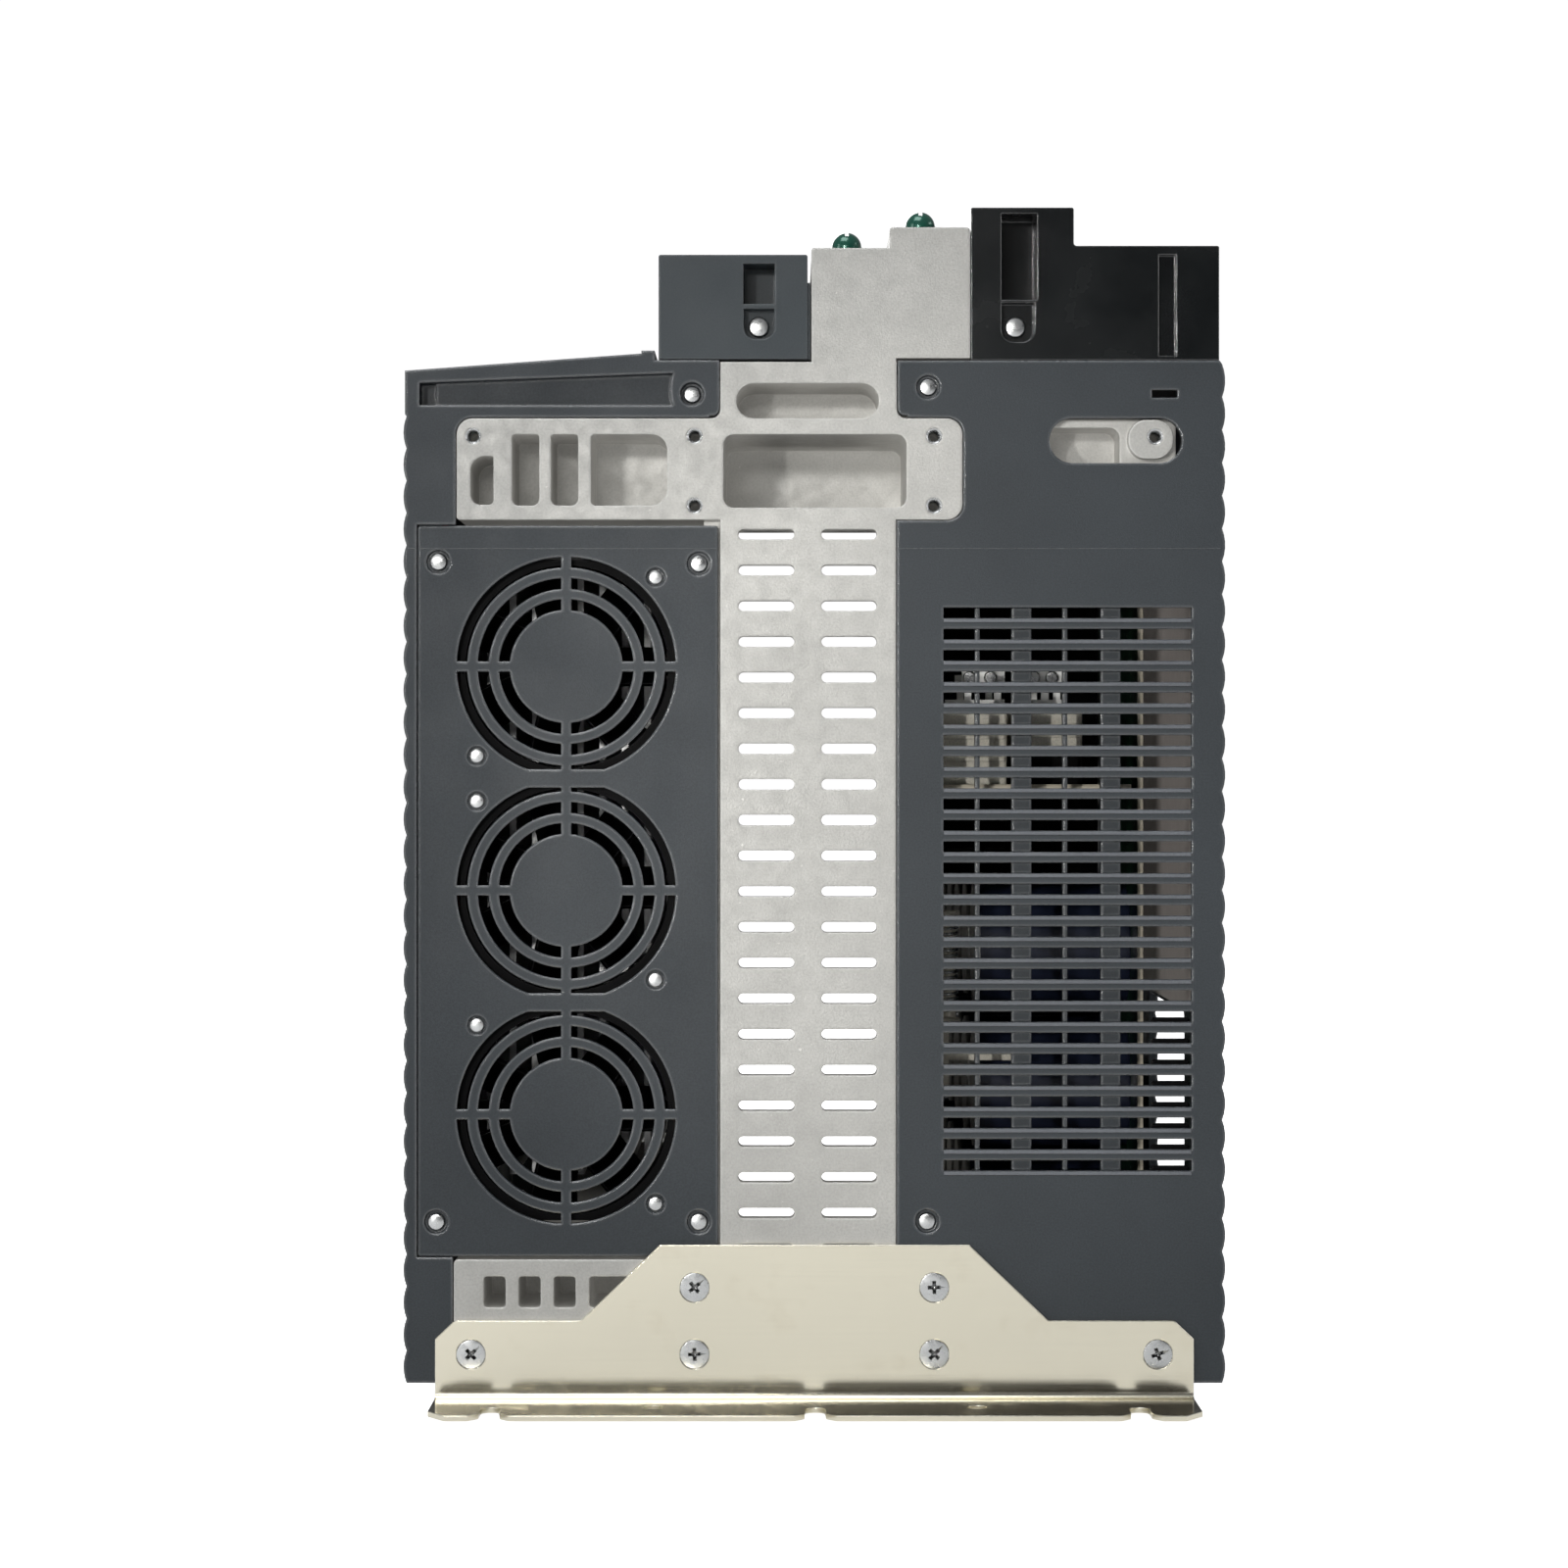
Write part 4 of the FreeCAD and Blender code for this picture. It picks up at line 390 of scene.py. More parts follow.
def paper(name):
    """White sweep: matt paper that stays white to the camera, with a soft contact shadow."""
    kit = Kit(name)
    grain = kit.noise(scale=900.0)
    kit.set("Base Color", kit.mix(grain, (0.80, 0.80, 0.80), (0.84, 0.84, 0.84)))
    kit.set("Roughness", 0.9)
    kit.set("Specular IOR Level", 0.1)
    kit.bump(grain, depth=0.00002, strength=0.2)
    rays = kit.node("LightPath").outputs
    to_camera, to_gloss = 0.97, 0.20     # emission seen directly and in reflections
    kit.set("Emission Color", (1, 1, 1))
    kit.set("Emission Strength", kit.math("ADD", kit.times(rays["Is Camera Ray"], to_camera),
                                          kit.times(rays["Is Glossy Ray"], to_gloss)))
    return kit.material


MATERIALS = {
    "dark_plastic": plastic("dark_plastic", (0.031, 0.037, 0.0425), rough=0.46, bevel=0.0008,
                            edge=0.45, spec=0.30, shine=2.2),
    "black_gloss": plastic("black_gloss", (0.0062, 0.0074, 0.0080), rough=0.24,
                           grain=0.000006, bevel=0.0005, edge=0.55, spec=0.24, mottle=0.05,
                           shine=2.0, broken=0.0),
    "block_plastic": plastic("block_plastic", (0.035, 0.044, 0.050), rough=0.40,
                             grain=0.00002, bevel=0.0005, edge=0.4, spec=0.28, mottle=0.08,
                             shine=1.0),
    "seam": plastic("seam_plastic", (0.075, 0.082, 0.088), rough=0.45, edge=0.2),
    "bar_sleeve": plastic("bar_sleeve", (0.020, 0.019, 0.021), rough=0.5, edge=0.1, spec=0.25),
    "liner_paper": liner("liner_paper", (0.50, 0.45, 0.42)),
    "fan_plastic": plastic("fan_plastic", (0.0014, 0.0014, 0.0017), rough=0.50, edge=0.05,
                           spec=0.06, shine=0.2),
    "module_plastic": plastic("module_plastic", (0.62, 0.61, 0.57), rough=0.5, edge=0.0),
    "connector_plastic": plastic("connector_plastic", (0.02, 0.20, 0.07), rough=0.4,
                                 edge=0.15),
    "relay_case": plastic("relay_case", (0.80, 0.76, 0.66), rough=0.45, edge=0.0),
    "smoked_window": plastic("smoked_window", (0.006, 0.007, 0.009), rough=0.08,
                             grain=0.000002, edge=0.0, spec=0.6),
    "button_rubber": plastic("button_rubber", (0.11, 0.12, 0.13), rough=0.6, edge=0.0),
    "cast_aluminium": cast_metal("cast_aluminium", (0.425, 0.421, 0.402)),
    "extruded_aluminium": extruded("extruded_aluminium", (0.62, 0.62, 0.62)),
    "nickel_sheet": sheet_metal("nickel_sheet", (0.80, 0.755, 0.615)),
    "zinc_steel": bright_metal("zinc_steel", (0.63, 0.64, 0.64)),
    "tinned_copper": bright_metal("tinned_copper", (0.8, 0.8, 0.78), rough=0.2),
    "solder": solder("solder_tin", (0.95, 0.95, 0.93)),
    "bearing_brass": bright_metal("bearing_brass", (0.72, 0.52, 0.22), rough=0.3),
    "copper_bar": bright_metal("copper_bar", (0.78, 0.40, 0.24), rough=0.3),
    "green_lacquer": lacquer("green_lacquer", (0.008, 0.095, 0.062)),
    "board_green": board("board_green"),
    "board_dark": board("board_dark", shade=0.22),
    "capacitor_sleeve": sleeve("capacitor_sleeve"),
    "core_iron": banded("core_iron", scale=330.0, direction="X",
                        colors=((0.03, 0.028, 0.026), (0.09, 0.085, 0.08)), metal=0.3,
                        rough=0.42, depth=0.0001, strength=0.6, rounding=0.0004),
    "coil": banded("coil_copper", scale=200.0, direction="Z",
                   colors=((0.20, 0.06, 0.02), (0.66, 0.26, 0.10)), metal=0.85,
                   rough=0.32, depth=0.0006, strength=0.9, rounding=0.001),
    "chip": plastic("chip_epoxy", (0.012, 0.012, 0.013), rough=0.38, edge=0.0),
    "can": bright_metal("small_can", (0.7, 0.7, 0.7)),
    "wire_red": plastic("wire_red", (0.35, 0.02, 0.015), rough=0.4, edge=0.0),
    "wire_black": plastic("wire_black", (0.012, 0.012, 0.012), rough=0.4, edge=0.0),
    "lamp": lacquer("lamp_lens", (0.05, 0.45, 0.10), rough=0.15),
    # paler plastic for the lips on the louvre bars: a painted highlight
    "lip": plastic("lip_highlight_plastic", (0.103, 0.112, 0.126), rough=0.34, bevel=0.0003, edge=0.1,
                   spec=0.6),
    "floor": paper("floor_paper"),
}
# CAD pieces whose look differs from their material slot
SPECIAL = {"motor_terminal_block": "block_plastic", "choke_coil": "coil",
           "relay_terminals": "solder", "bus_bars": "bar_sleeve",
           "capacitor_board": "board_dark"}
slots = {part["node"]: part["material_slot"] for part in frame["record"]["subparts"]}
for name, obj in frame["nodes"].items():
    obj.data.materials.clear()
    obj.data.materials.append(MATERIALS[SPECIAL.get(name, slots[name])])


# ================================================================= mesh building
def link_object(name, data):
    obj = bpy.data.objects.new(name, data)
    scene.collection.objects.link(obj)
    return obj


def solid_object(name, bm):
    mesh = bpy.data.meshes.new(name)
    bmesh.ops.recalc_face_normals(bm, faces=bm.faces)
    bm.to_mesh(mesh)
    bm.free()
    return link_object(name, mesh)


def dress(obj, material):
    obj.data.materials.append(MATERIALS[material])
    for polygon in obj.data.polygons:
        polygon.use_smooth = True
    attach(obj, "unit")


def finish_mesh(name, bm, material, angle=35.0):
    """Turn bm into a piece of the unit; edges steeper than angle (degrees) stay sharp."""
    obj = solid_object(name, bm)
    dress(obj, material)
    obj.data.set_sharp_from_angle(angle=math.radians(angle))
    return obj


def evaluated_mesh(obj):
    bpy.context.view_layer.update()
    depsgraph = bpy.context.evaluated_depsgraph_get()
    return bpy.data.meshes.new_from_object(obj.evaluated_get(depsgraph))


def add_box(bm, low, high, bevel=0.0, segments=2):
    """Box between two corners, with rounded edges."""
    low, high = Vector(low) * MM, Vector(high) * MM
    center, size = (low + high) / 2, high - low
    verts = bmesh.ops.create_cube(bm, size=1.0)["verts"]
    for v in verts:
        v.co = Vector((v.co.x * size.x, v.co.y * size.y, v.co.z * size.z)) + center
    if bevel > 0:
        edges = list({edge for v in verts for edge in v.link_edges})
        bmesh.ops.bevel(bm, geom=edges, offset=bevel * MM, segments=segments,
                        affect="EDGES", clamp_overlap=True)


def add_lathe(bm, profile, segments, place=Matrix.Identity(4)):
    """Solid of revolution about +Z from (radius, z) points, both ends on the axis."""
    rings = []
    angles = [2 * math.pi * i / segments for i in range(segments)]
    for radius, z in profile:
        if radius < 1e-6:
            rings.append([bm.verts.new(place @ Vector((0, 0, z * MM)))])
        else:
            rings.append([bm.verts.new(place @ Vector((radius * MM * math.cos(angle),
                                                       radius * MM * math.sin(angle),
                                                       z * MM))) for angle in angles])
    for a, b in zip(rings, rings[1:]):
        for i in range(segments):
            j = (i + 1) % segments
            if len(a) == 1:
                bm.faces.new((a[0], b[i], b[j]))
            elif len(b) == 1:
                bm.faces.new((a[i], a[j], b[0]))
            else:
                bm.faces.new((a[i], a[j], b[j], b[i]))


def facing(origin, direction, spin=0.0):
    """Frame at origin whose +Z is direction, turned by spin (radians) about it."""
    tilt = Vector(UP).rotation_difference(Vector(direction))
    return Matrix.Translation(Vector(origin) * MM) @ tilt.to_matrix().to_4x4() @ \
        Matrix.Rotation(spin, 4, "Z")


def box_piece(name, corners, bevel, segments, material):
    """One piece made of boxes; corners holds (low, high) pairs."""
    bm = bmesh.new()
    for low, high in corners:
        add_box(bm, low, high, bevel, segments)
    finish_mesh(name, bm, material)


def turned_piece(name, parts, material):
    """One piece made of lathed parts, each (profile, segments, place)."""
    bm = bmesh.new()
    for part in parts:
        add_lathe(bm, *part)
    finish_mesh(name, bm, material)


def cable(name, points, radius, material):
    """Round wire along a smooth curve near the points."""
    curve = bpy.data.curves.new(name, "CURVE")
    curve.dimensions = "3D"
    curve.bevel_depth = radius * MM
    curve.bevel_resolution = 3
    curve.use_fill_caps = True
    spline = curve.splines.new("NURBS")
    spline.points.add(len(points) - 1)
    for control, (x, y, z) in zip(spline.points, points):
        control.co = (x * MM, y * MM, z * MM, 1)
    spline.use_endpoint_u = True
    spline.order_u = 4
    guide = link_object(name, curve)
    mesh = evaluated_mesh(guide)
    bpy.data.objects.remove(guide)
    mesh.materials.clear()
    dress(link_object(name, mesh), material)


# ======================================================================== screws
def cross_cutters(radius, depth, wing):
    """Cross recess from z = 0 down: two tapered crossing wings and a centre cone.
    wing is the half width of a wing as a share of its length."""
    bm = bmesh.new()
    outline = ((-1, -1), (1, -1), (1, 1), (-1, 1))
    half = radius * wing
    low_radius, low_half = radius * 0.42, half * 0.55
    for angle in (0, math.pi / 2):
        rotation = Matrix.Rotation(angle, 4, "Z")
        points = [(x * radius, y * half, 0.6) for x, y in outline]
        points += [(x * low_radius, y * low_half, -depth) for x, y in outline]
        verts = [bm.verts.new(rotation @ (Vector(point) * MM)) for point in points]
        for face in ((0, 1, 2, 3), (7, 6, 5, 4), (0, 4, 5, 1), (1, 5, 6, 2), (2, 6, 7, 3),
                     (3, 7, 4, 0)):
            bm.faces.new([verts[i] for i in face])
    wings = solid_object("tmp_cross", bm)
    bm = bmesh.new()
    add_lathe(bm, [(0, 0.59), (radius * 0.45, 0.59), (radius * 0.28, -depth * 0.9),
                   (0, -depth * 1.1)], 16)
    return wings, solid_object("tmp_cone", bm)


def screw_mesh(profile, cross_radius, depth, segments, wing):
    """Screw along Z with its head towards +Z."""
    bm = bmesh.new()
    add_lathe(bm, profile, segments)
    screw = solid_object("tmp_screw", bm)
    cutters = cross_cutters(cross_radius, depth, wing)
    for cutter in cutters:
        cut = screw.modifiers.new("cut", "BOOLEAN")
        cut.operation = "DIFFERENCE"
        cut.solver = "MANIFOLD"
        cut.object = cutter
    mesh = evaluated_mesh(screw)
    for temporary in (screw, *cutters):
        old = temporary.data
        bpy.data.objects.remove(temporary)
        bpy.data.meshes.remove(old)
    return mesh


def thread(radius, top, bottom, pitch):
    """Thread crests as a zig-zag outline from top down to bottom."""
    points = []
    z = top
    while z - pitch > bottom:
        points += [(radius, z), (radius - 0.28, z - pitch / 2)]
        z -= pitch
    return points + [(radius - 0.3, bottom)]


def pan_screw(radius, height, shank, length):
    """Screw with a domed head of the given radius and height."""
    profile = [(0, height), (radius * 0.62, height * 0.985), (radius * 0.88, height * 0.86),
               (radius * 0.98, height * 0.55), (radius, height * 0.12), (radius * 0.98, 0.0),
               (shank, -0.02)]
    profile += thread(shank, top=-0.3, bottom=-length + 1.2, pitch=0.5) + [(0, -length)]
    return screw_mesh(profile, cross_radius=radius * 0.70, depth=height * 0.95, segments=32,
                      wing=0.34)


def place_screws(name, source, seats):
    """Replace CAD screws by copies of source; seats hold x, y, z, spin, heads outwards."""
    bm = bmesh.new()
    for x, y, z, spin in seats:
        copy = source.copy()
        copy.transform(facing((x, y, z), FRONT if y < 0 else BACK, spin))
        bm.from_mesh(copy)
        bpy.data.meshes.remove(copy)
    obj = finish_mesh(name + "_detail", bm, "zinc_steel", angle=30)
    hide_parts(name)


def random_spin():
    return rng.random() * 1.5


# x, z, spin on the front, spin on the back
BRACKET_SCREWS = ((-96.0, 13.7, 0.75, 0.3), (-33.5, 13.7, 0.05, 0.9), (33.5, 13.7, 0.80, 0.1),
                  (96.0, 13.7, 0.35, 0.5), (-33.5, 32.4, 0.70, 0.62), (33.5, 32.4, 0.02, 0.2))
BRACKET_Y = 181.52
FAN_COVER_CORNERS = ((-105.3, 235.3), (-32.4, 234.8), (-105.9, 50.5), (-32.4, 50.5))   # x, z
FANS = (("top", 206.0, 1), ("middle", 143.3, -1), ("bottom", 80.6, -1))
# name, centre z, and which diagonal the fan's two screws sit on
FAN_X = -69.5
FAN_SCREW_OFFSET = 25

countersunk = screw_mesh(
    [(0, 0.0), (3.7, 0.0), (4.0, -0.05), (4.08, -0.22), (2.0, -2.1)] +
    thread(1.95, top=-2.3, bottom=-12.4, pitch=0.7) + [(0.0, -12.8)],
    cross_radius=2.15, depth=1.7, segments=40, wing=0.26)
place_screws("bracket_screws", countersunk,
             [(x, -BRACKET_Y, z, spin) for x, z, spin, _ in BRACKET_SCREWS] +
             [(x, BRACKET_Y, z, spin) for x, z, _, spin in BRACKET_SCREWS])

small = pan_screw(radius=2.4, height=1.4, shank=1.15, length=10.5)
place_screws("fan_cover_screws", small,
             [(x, -178.42, z, random_spin()) for x, z in FAN_COVER_CORNERS])
place_screws("fan_screws", pan_screw(radius=2.05, height=1.2, shank=1.25, length=11.5), [
    (FAN_X + side * FAN_SCREW_OFFSET, -178.82, z + side * diagonal * FAN_SCREW_OFFSET,
     random_spin()) for _, z, diagonal in FANS for side in (1, -1)])
place_screws("housing_screws", small, [
    (-34.3, -177.22, 282.3, 0.3), (31.8, -178.62, 284.2, 0.9), (31.5, -178.62, 50.7, 1.2),
    (-34.3, 177.22, 282.3, 0.4), (33.4, 178.62, 284.2, 1.1), (37.0, 178.62, 60.0, 0.2)])
place_screws("terminal_screws", pan_screw(radius=2.9, height=1.6, shank=1.2, length=10.5),
             [(-15.6, -175.52, 301.4, 0.1), (56.4, -176.02, 301.2, 0.7)])
place_screws("outlet_grille_screws", small,
             [(-107.2, 182.1, 64.5, 0.5), (-107.2, 182.1, 226.5, 1.0)])

# ================================================================== tapped holes
TAPS = ((-95.5, 270.5), (-33.5, 270.5), (-33.5, 251.0), (33.5, 270.5), (33.5, 251.0),
        (95.4, 270.3))     # x, z on both the front and the back
TAP_FACE_Y = 180.0
TAP_PITCH = 0.7
TAP_DEPTH = 8.0
TAP_SEGMENTS = 28


def tap_outline():
    """(radius, height) of a chamfer, the thread, and last the two rings of the outer wall."""
    outline = [(2.2, -0.03), (1.72, -0.46), (1.62, -0.78)]
    z = -0.85
    while z > -TAP_DEPTH:
        outline += [(1.60, z), (1.40, z - TAP_PITCH / 2)]
        z -= TAP_PITCH
    return outline + [(1.62, z), (2.2, -0.79), (1.64, -0.80)]


def add_tap(bm, place):
    rings = []
    angles = [2 * math.pi * i / TAP_SEGMENTS for i in range(TAP_SEGMENTS)]
    for radius, z in tap_outline():
        rings.append([bm.verts.new(place @ (Vector((radius * math.cos(angle),
                                                    radius * math.sin(angle), z)) * MM))
                      for angle in angles])
    *inner, rim, wall = rings

    def bridge(pairs):
        for i in range(TAP_SEGMENTS):
            j = (i + 1) % TAP_SEGMENTS
            for a, b in pairs:
                bm.faces.new((a[i], a[j], b[j], b[i]))

    for pair in zip(inner, inner[1:]):
        bridge([pair])
    bridge([(rim, inner[0]), (wall, rim), (inner[-1], wall)])


bm = bmesh.new()
for side in (-1, 1):
    for x, z in TAPS:
        add_tap(bm, facing((x, side * TAP_FACE_Y, z), (0, side, 0)))
finish_mesh("tap_threads", bm, "zinc_steel", angle=25)

# ================================================================ parts on boards
CHIP_SIZES = [(3, 2), (5, 4), (8, 8), (12, 12), (6, 10), (2, 1.2), (4, 9)]
CHIP_HEIGHTS = [0.9, 1.3, 1.6, 2.4]
CAN_RADII = [2.0, 2.5, 3.2]
CAN_OUTLINE = ((0, 0), (1, 0), (1, 0.12), (0.93, 0.2), (1, 0.28), (1, 0.95), (0.92, 1), (0, 1))
# radius, height as shares of the can's
TRIES = 30                 # attempts to find free room for each part
PART_GAP = 0.6
CHIP_MARGIN, CAN_MARGIN = 2, 5
LIFT = 0.02                # clearance between a part and its board


def overlaps(a, b, gap=0.0):
    """Whether two rectangles (low, low, high, high) come closer than gap."""
    return (a[0] < b[2] + gap and b[0] < a[2] + gap and
            a[1] < b[3] + gap and b[1] < a[3] + gap)


def populate(tag, low, high, level, outward, count, tall, reserved=()):
    """Chips and small cans on a board face at level, which faces z, x or -x (outward).
    low and high are corners in the other two axes; reserved rectangles stay empty."""
    chips, cans = bmesh.new(), bmesh.new()
    used = []
    sign = -1 if outward == "-x" else 1

    def on_face(u, v, height):
        return (u, v, height) if outward == "z" else (height, u, v)

    def claim(box):
        if any(overlaps(box, other) for other in reserved):
            return False
        if any(overlaps(box, other, PART_GAP) for other in used):
            return False
        used.append(box)
        return True

    def add_chip(u, v, width, depth):
        height = min(tall, rng.choice(CHIP_HEIGHTS))
        near, far = sorted((level + sign * LIFT, level + sign * height))
        add_box(chips, on_face(u, v, near), on_face(u + width, v + depth, far), 0.15, 1)
        if outward == "z" and width >= 5:
            for i in range(depth):
                leg_v = v + 0.5 + i
                for leg_u in (u - 0.9, u + width + 0.02):
                    add_box(cans, (leg_u, leg_v, level + LIFT),
                            (leg_u + 0.88, leg_v + 0.4, level + 0.5))

    for _ in range(count):
        for _ in range(TRIES):
            width, depth = rng.choice(CHIP_SIZES)
            u = rng.uniform(low[0] + CHIP_MARGIN, high[0] - width - CHIP_MARGIN)
            v = rng.uniform(low[1] + CHIP_MARGIN, high[1] - depth - CHIP_MARGIN)
            if claim((u, v, u + width, v + depth)):
                add_chip(u, v, width, depth)
                break
    for _ in range(max(3, count // 8)):
        for _ in range(TRIES):
            radius = rng.choice(CAN_RADII)
            u = rng.uniform(low[0] + CAN_MARGIN, high[0] - CAN_MARGIN)
            v = rng.uniform(low[1] + CAN_MARGIN, high[1] - CAN_MARGIN)
            if claim((u - radius, v - radius, u + radius, v + radius)):
                add_lathe(cans, [(radius * r, tall * h) for r, h in CAN_OUTLINE], 20,
                          facing(on_face(u, v, level + sign * LIFT), on_face(0, 0, sign)))
                break
    finish_mesh(tag + "_chips", chips, "chip", angle=40)
    finish_mesh(tag + "_cans", cans, "can", angle=40)


populate("control_board", low=(-92, -140), high=(-44, 140), level=278.0, outward="z",
         count=90, tall=5.0)
populate("capacitor_board", low=(-34, 150), high=(158, 236), level=92.2, outward="-x",
         count=50, tall=10.0, reserved=[(36, 172, 134, 238)])
populate("capacitor_board_back", low=(-155, 50), high=(155, 236), level=93.8, outward="x",
         count=70, tall=2.0)

# ===================================================================== fan leads
LEAD_RADIUS = 0.62
LEAD_SPACING = 1.3
for i, (fan, z, _) in enumerate(FANS):
    for j, wire in enumerate(("wire_red", "wire_black")):
        dx = LEAD_SPACING * j
        cable("fan_lead_%s_%d" % (fan, j + 1), [
            (-98.2 - dx * 0.2, -152.4, z - 14 - 2 * j),
            (-101.5 - dx, -149.5, z - 12 - 2 * j),
            (-104.5 - dx, -148.5, z + 4),
            (-105.6 - dx - 0.8 * i, -150.0 - 3 * i, z + 30),
            (-105.8 - dx, -150.5 - 3 * i, 244.0),
            (-106.0 - dx, -150.2 - 2 * i, 262.0),
            (-107.0 - dx * 0.5, -150.0, 271.0)], LEAD_RADIUS, wire)

# ======================================================= small parts at the front
LAMP_PROFILE = [(0, -0.6), (1.2, -0.6), (1.2, 0.15), (0.9, 0.5), (0.5, 0.66), (0, 0.7)]
turned_piece("status_lamps", [(LAMP_PROFILE, 24, facing((-12.0 + 9.0 * i, -72.0, 291.6), UP))
                              for i in range(3)], "lamp")

# x from, x to, first y, y pitch, length in y, z from, z to
CLAMP_ROWS = ((-40.2, -30.8, -163.2, 12.5, 8.4, 305.02, 309.5),
              (90.8, 102.2, -165.2, 15, 10.4, 308.02, 313.0))
box_piece("terminal_clamps", [
    ((x0, y + pitch * i, z0), (x1, y + pitch * i + length, z1))
    for i in range(3) for x0, x1, y, pitch, length, z0, z1 in CLAMP_ROWS],
    bevel=0.4, segments=2, material="tinned_copper")

LOUVRE_TOPS = [64.8 + 5.95 * i for i in range(27)]
# rounded lips along the top edges of the louvre bars, in a paler plastic: a painted highlight
# where the bars' top edges catch the light
box_piece("louvre_highlight_lips", [((36.15, -180.14, z - 1.28), (105.55, -179.90, z - 0.06))
                          for z in LOUVRE_TOPS],
          bevel=0.11, segments=2, material="lip")
# short ribs behind the outer ends of the lower louvres, in front of the opening in the side
box_piece("louvre_ribs", [((94.6, -177.2, z - 0.5), (105.3, -175.2, z + 1.12))
                          for z in LOUVRE_TOPS[:8]],
          bevel=0.3, segments=2, material="fan_plastic")

# mould parting line: a fine raised bead across the housings and the fan cover
PARTING_Z, BEAD_HALF = 239.0, 0.15
BEADS = ((23.3, 113.9, -180.08), (-113.9, -111.4, -180.08), (-110.6, -27.4, -179.68))
# x from, x to, front y
box_piece("parting_bead", [((x0, y, PARTING_Z - BEAD_HALF), (x1, y + 0.13, PARTING_Z + BEAD_HALF))
                           for x0, x1, y in BEADS],
          bevel=0.05, segments=1, material="seam")

# ribs moulded into the relay cases, seen through the louvres
RELAY_RIBS = ((36.0, (176.2, 179.4, 182.6, 185.8, 189.0)), (57.5, (186.2, 189.2)))  # x, zs
box_piece("relay_ribs", [((x + 0.6, y - 0.45, z), (x + 18.4, y - 0.02, z + 1.3))
                         for x, heights in RELAY_RIBS for y in (-162.0, -118.0)
                         for z in heights],
          bevel=0.2, segments=1, material="relay_case")

# clamp screws and strands on the relay terminals, catching the light behind the grille
HEAD_PROFILE = [(0, 0), (1.7, 0), (1.9, 0.2), (1.9, 1.0), (1.5, 1.5), (0, 1.6)]
STRAND_PROFILE = [(0, 0), (0.8, 0), (0.8, 0.9), (0.5, 1.2), (0, 1.25)]
TERMINAL_Y = -158.02
turned_piece("terminal_heads",
             [(HEAD_PROFILE, 20, facing((x, TERMINAL_Y, 203.5), FRONT))
              for x in (44.5, 50.5, 62.8, 68.0)] +
             [(STRAND_PROFILE, 16, facing((x, TERMINAL_Y, 195.4), FRONT))
              for x in (39.0, 41.0, 44.6, 46.6, 51.5, 61.0, 63.6, 66.5)], "zinc_steel")

# wire-wound brake resistor standing on its terminal block
RESISTOR_X, RESISTOR_Y = 38.6, -153.5
WINDING_RADIUS, WINDING_BOTTOM, WINDING_RISE = 2.75, 107.0, 25.0
WINDING_STEPS = 16 * 12    # turns times points per turn
CORE_PROFILE = [(0, 102.55), (3.4, 102.55), (3.6, 102.8), (3.6, 105.6), (3.3, 106.0),
                (2.2, 106.1), (2.2, 133.4), (3.3, 133.5), (3.6, 133.9), (3.6, 136.4),
                (3.3, 136.8), (0, 136.9)]
cable("brake_resistor_winding", [
    (RESISTOR_X + WINDING_RADIUS * math.cos(i * math.pi / 6),
     RESISTOR_Y + WINDING_RADIUS * math.sin(i * math.pi / 6),
     WINDING_BOTTOM + WINDING_RISE * i / WINDING_STEPS) for i in range(WINDING_STEPS + 1)],
    0.42, "zinc_steel")
turned_piece("brake_resistor_core",
             [(CORE_PROFILE, 32, facing((RESISTOR_X, RESISTOR_Y, 0), UP))], "relay_case")


# ========================================================================= stage
def build_floor(half=60.0, z=-0.0006):
    bm = bmesh.new()
    bm.faces.new([bm.verts.new((x * half, y * half, z))
                  for x, y in ((-1, -1), (1, -1), (1, 1), (-1, 1))])
    mesh = bpy.data.meshes.new("floor")
    bm.to_mesh(mesh)
    bm.free()
    floor = link_object("floor", mesh)
    mesh.materials.append(MATERIALS["floor"])


def add_light(name, kind, at, to, power, color=(1, 1, 1), **settings):
    light = bpy.data.lights.new(name, kind)
    light.energy = power
    light.color = color
    for setting, value in settings.items():
        setattr(light, setting, value)
    obj = link_object(name, light)
    obj.location = at
    obj.rotation_euler = (Vector(to) - Vector(at)).to_track_quat("-Z", "Y").to_euler()
    return obj


def area(name, size, **placing):
    """Rectangular light that the camera doesn't see."""
    add_light(name, "AREA", shape="RECTANGLE", size=size[0], size_y=size[1],
              **placing).visible_camera = False


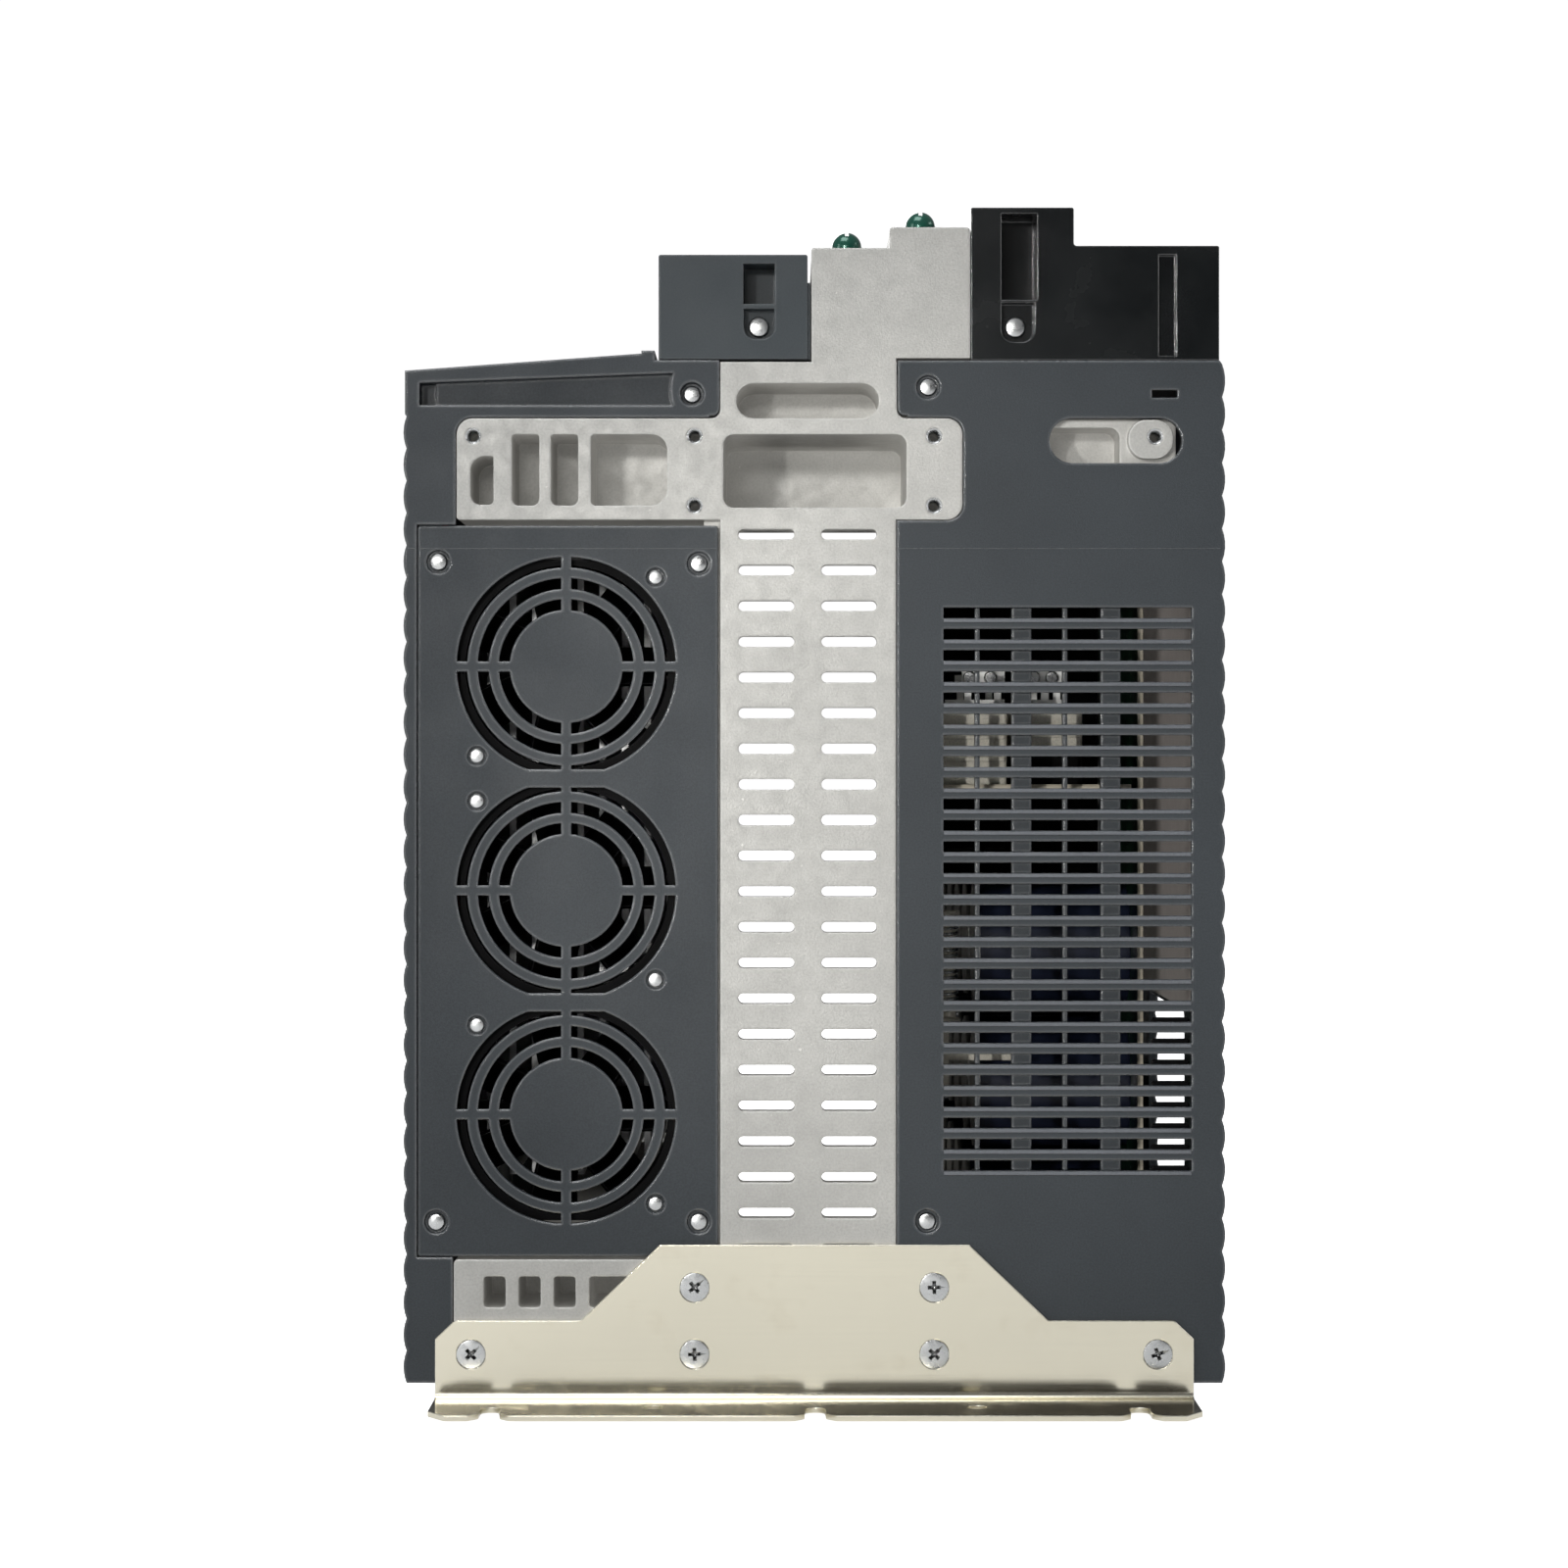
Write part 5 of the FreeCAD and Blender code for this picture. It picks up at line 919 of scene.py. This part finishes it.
def build_world():
    """Bright room with a darker patch straight in front, where the photographer stands;
    plain white to the camera."""
    world = bpy.data.worlds.new("studio")
    scene.world = world
    sky = Shader(world, "OutputWorld")
    camera_ray = sky.node("LightPath").outputs["Is Camera Ray"]
    white = sky.node("Background", {"Color": (1, 1, 1), "Strength": 1.05})
    direction = sky.node("TexCoord").outputs["Generated"]
    split = sky.node("SeparateXYZ", {0: direction}).outputs

    def smooth(value, over, to):
        return sky.span(value, over, to, interpolation_type="SMOOTHSTEP")

    patch = sky.times(smooth(split[1], over=(-0.92, -0.55), to=(1.0, 0.0)),
                      smooth(split[2], over=(0.22, 0.42), to=(1.0, 0.0)))
    room = sky.ramp(smooth(split[2], over=(-0.6, 0.9), to=(0.0, 1.0)), at=(0.0, 1.0),
                    to=((0.50, 0.50, 0.52), (0.95, 0.97, 1.0)))
    lit = sky.node("Background", {"Color": sky.mix(patch, room, (0.10, 0.10, 0.11)),
                                  "Strength": 0.27})
    mixed = sky.node("MixShader", {0: camera_ray, 1: lit.outputs[0], 2: white.outputs[0]})
    sky.plug(sky.output.inputs[0], mixed.outputs[0])


def build_camera():
    half_view = 0.2194       # tangent of half the horizontal angle of view
    camera = bpy.data.cameras.new("camera")
    camera.sensor_width = 36.0
    camera.lens = camera.sensor_width / 2 / half_view
    camera.clip_start = 0.05
    obj = link_object("camera", camera)
    obj.location = (-0.0085, -1.18, 0.1731)
    obj.rotation_euler = (math.radians(90), 0, 0)
    scene.camera = obj


build_floor()
area("key", at=(-0.92, -3.18, 0.71), to=(0, -0.18, 0.17), size=(0.17, 0.17), power=20.0,
     color=(1.0, 0.992, 0.975))
area("top", at=(-0.35, -0.75, 1.65), to=(0, -0.1, 0.2), size=(1.1, 0.8), power=12.0,
     color=(0.97, 0.985, 1.0))
area("left", at=(-1.5, -0.9, 0.45), to=(0, -0.18, 0.16), size=(0.5, 0.9), power=3.5)
# low fill from the left at louvre height, so the parts behind the louvres can be read
add_light("louvre_fill", "SPOT", at=(-0.40, -1.24, 0.185), to=(0.072, -0.15, 0.165),
          power=15.0, color=(1.0, 0.985, 0.95), spot_size=0.30, spot_blend=0.7,
          shadow_soft_size=0.02)
area("front", at=(-0.14, -1.25, 0.42), to=(0, -0.18, 0.22), size=(0.25, 0.10), power=1.15,
     color=(1.0, 0.99, 0.965))
area("back", at=(-0.4, 1.6, 1.0), to=(0, 0.1, 0.2), size=(0.9, 0.9), power=14.0)
area("right", at=(1.6, -0.2, 0.7), to=(0, 0, 0.16), size=(0.8, 0.8), power=5.0)
build_world()
scene.view_settings.view_transform = "Standard"
scene.view_settings.look = "None"
build_camera()

bpy.context.view_layer.update()
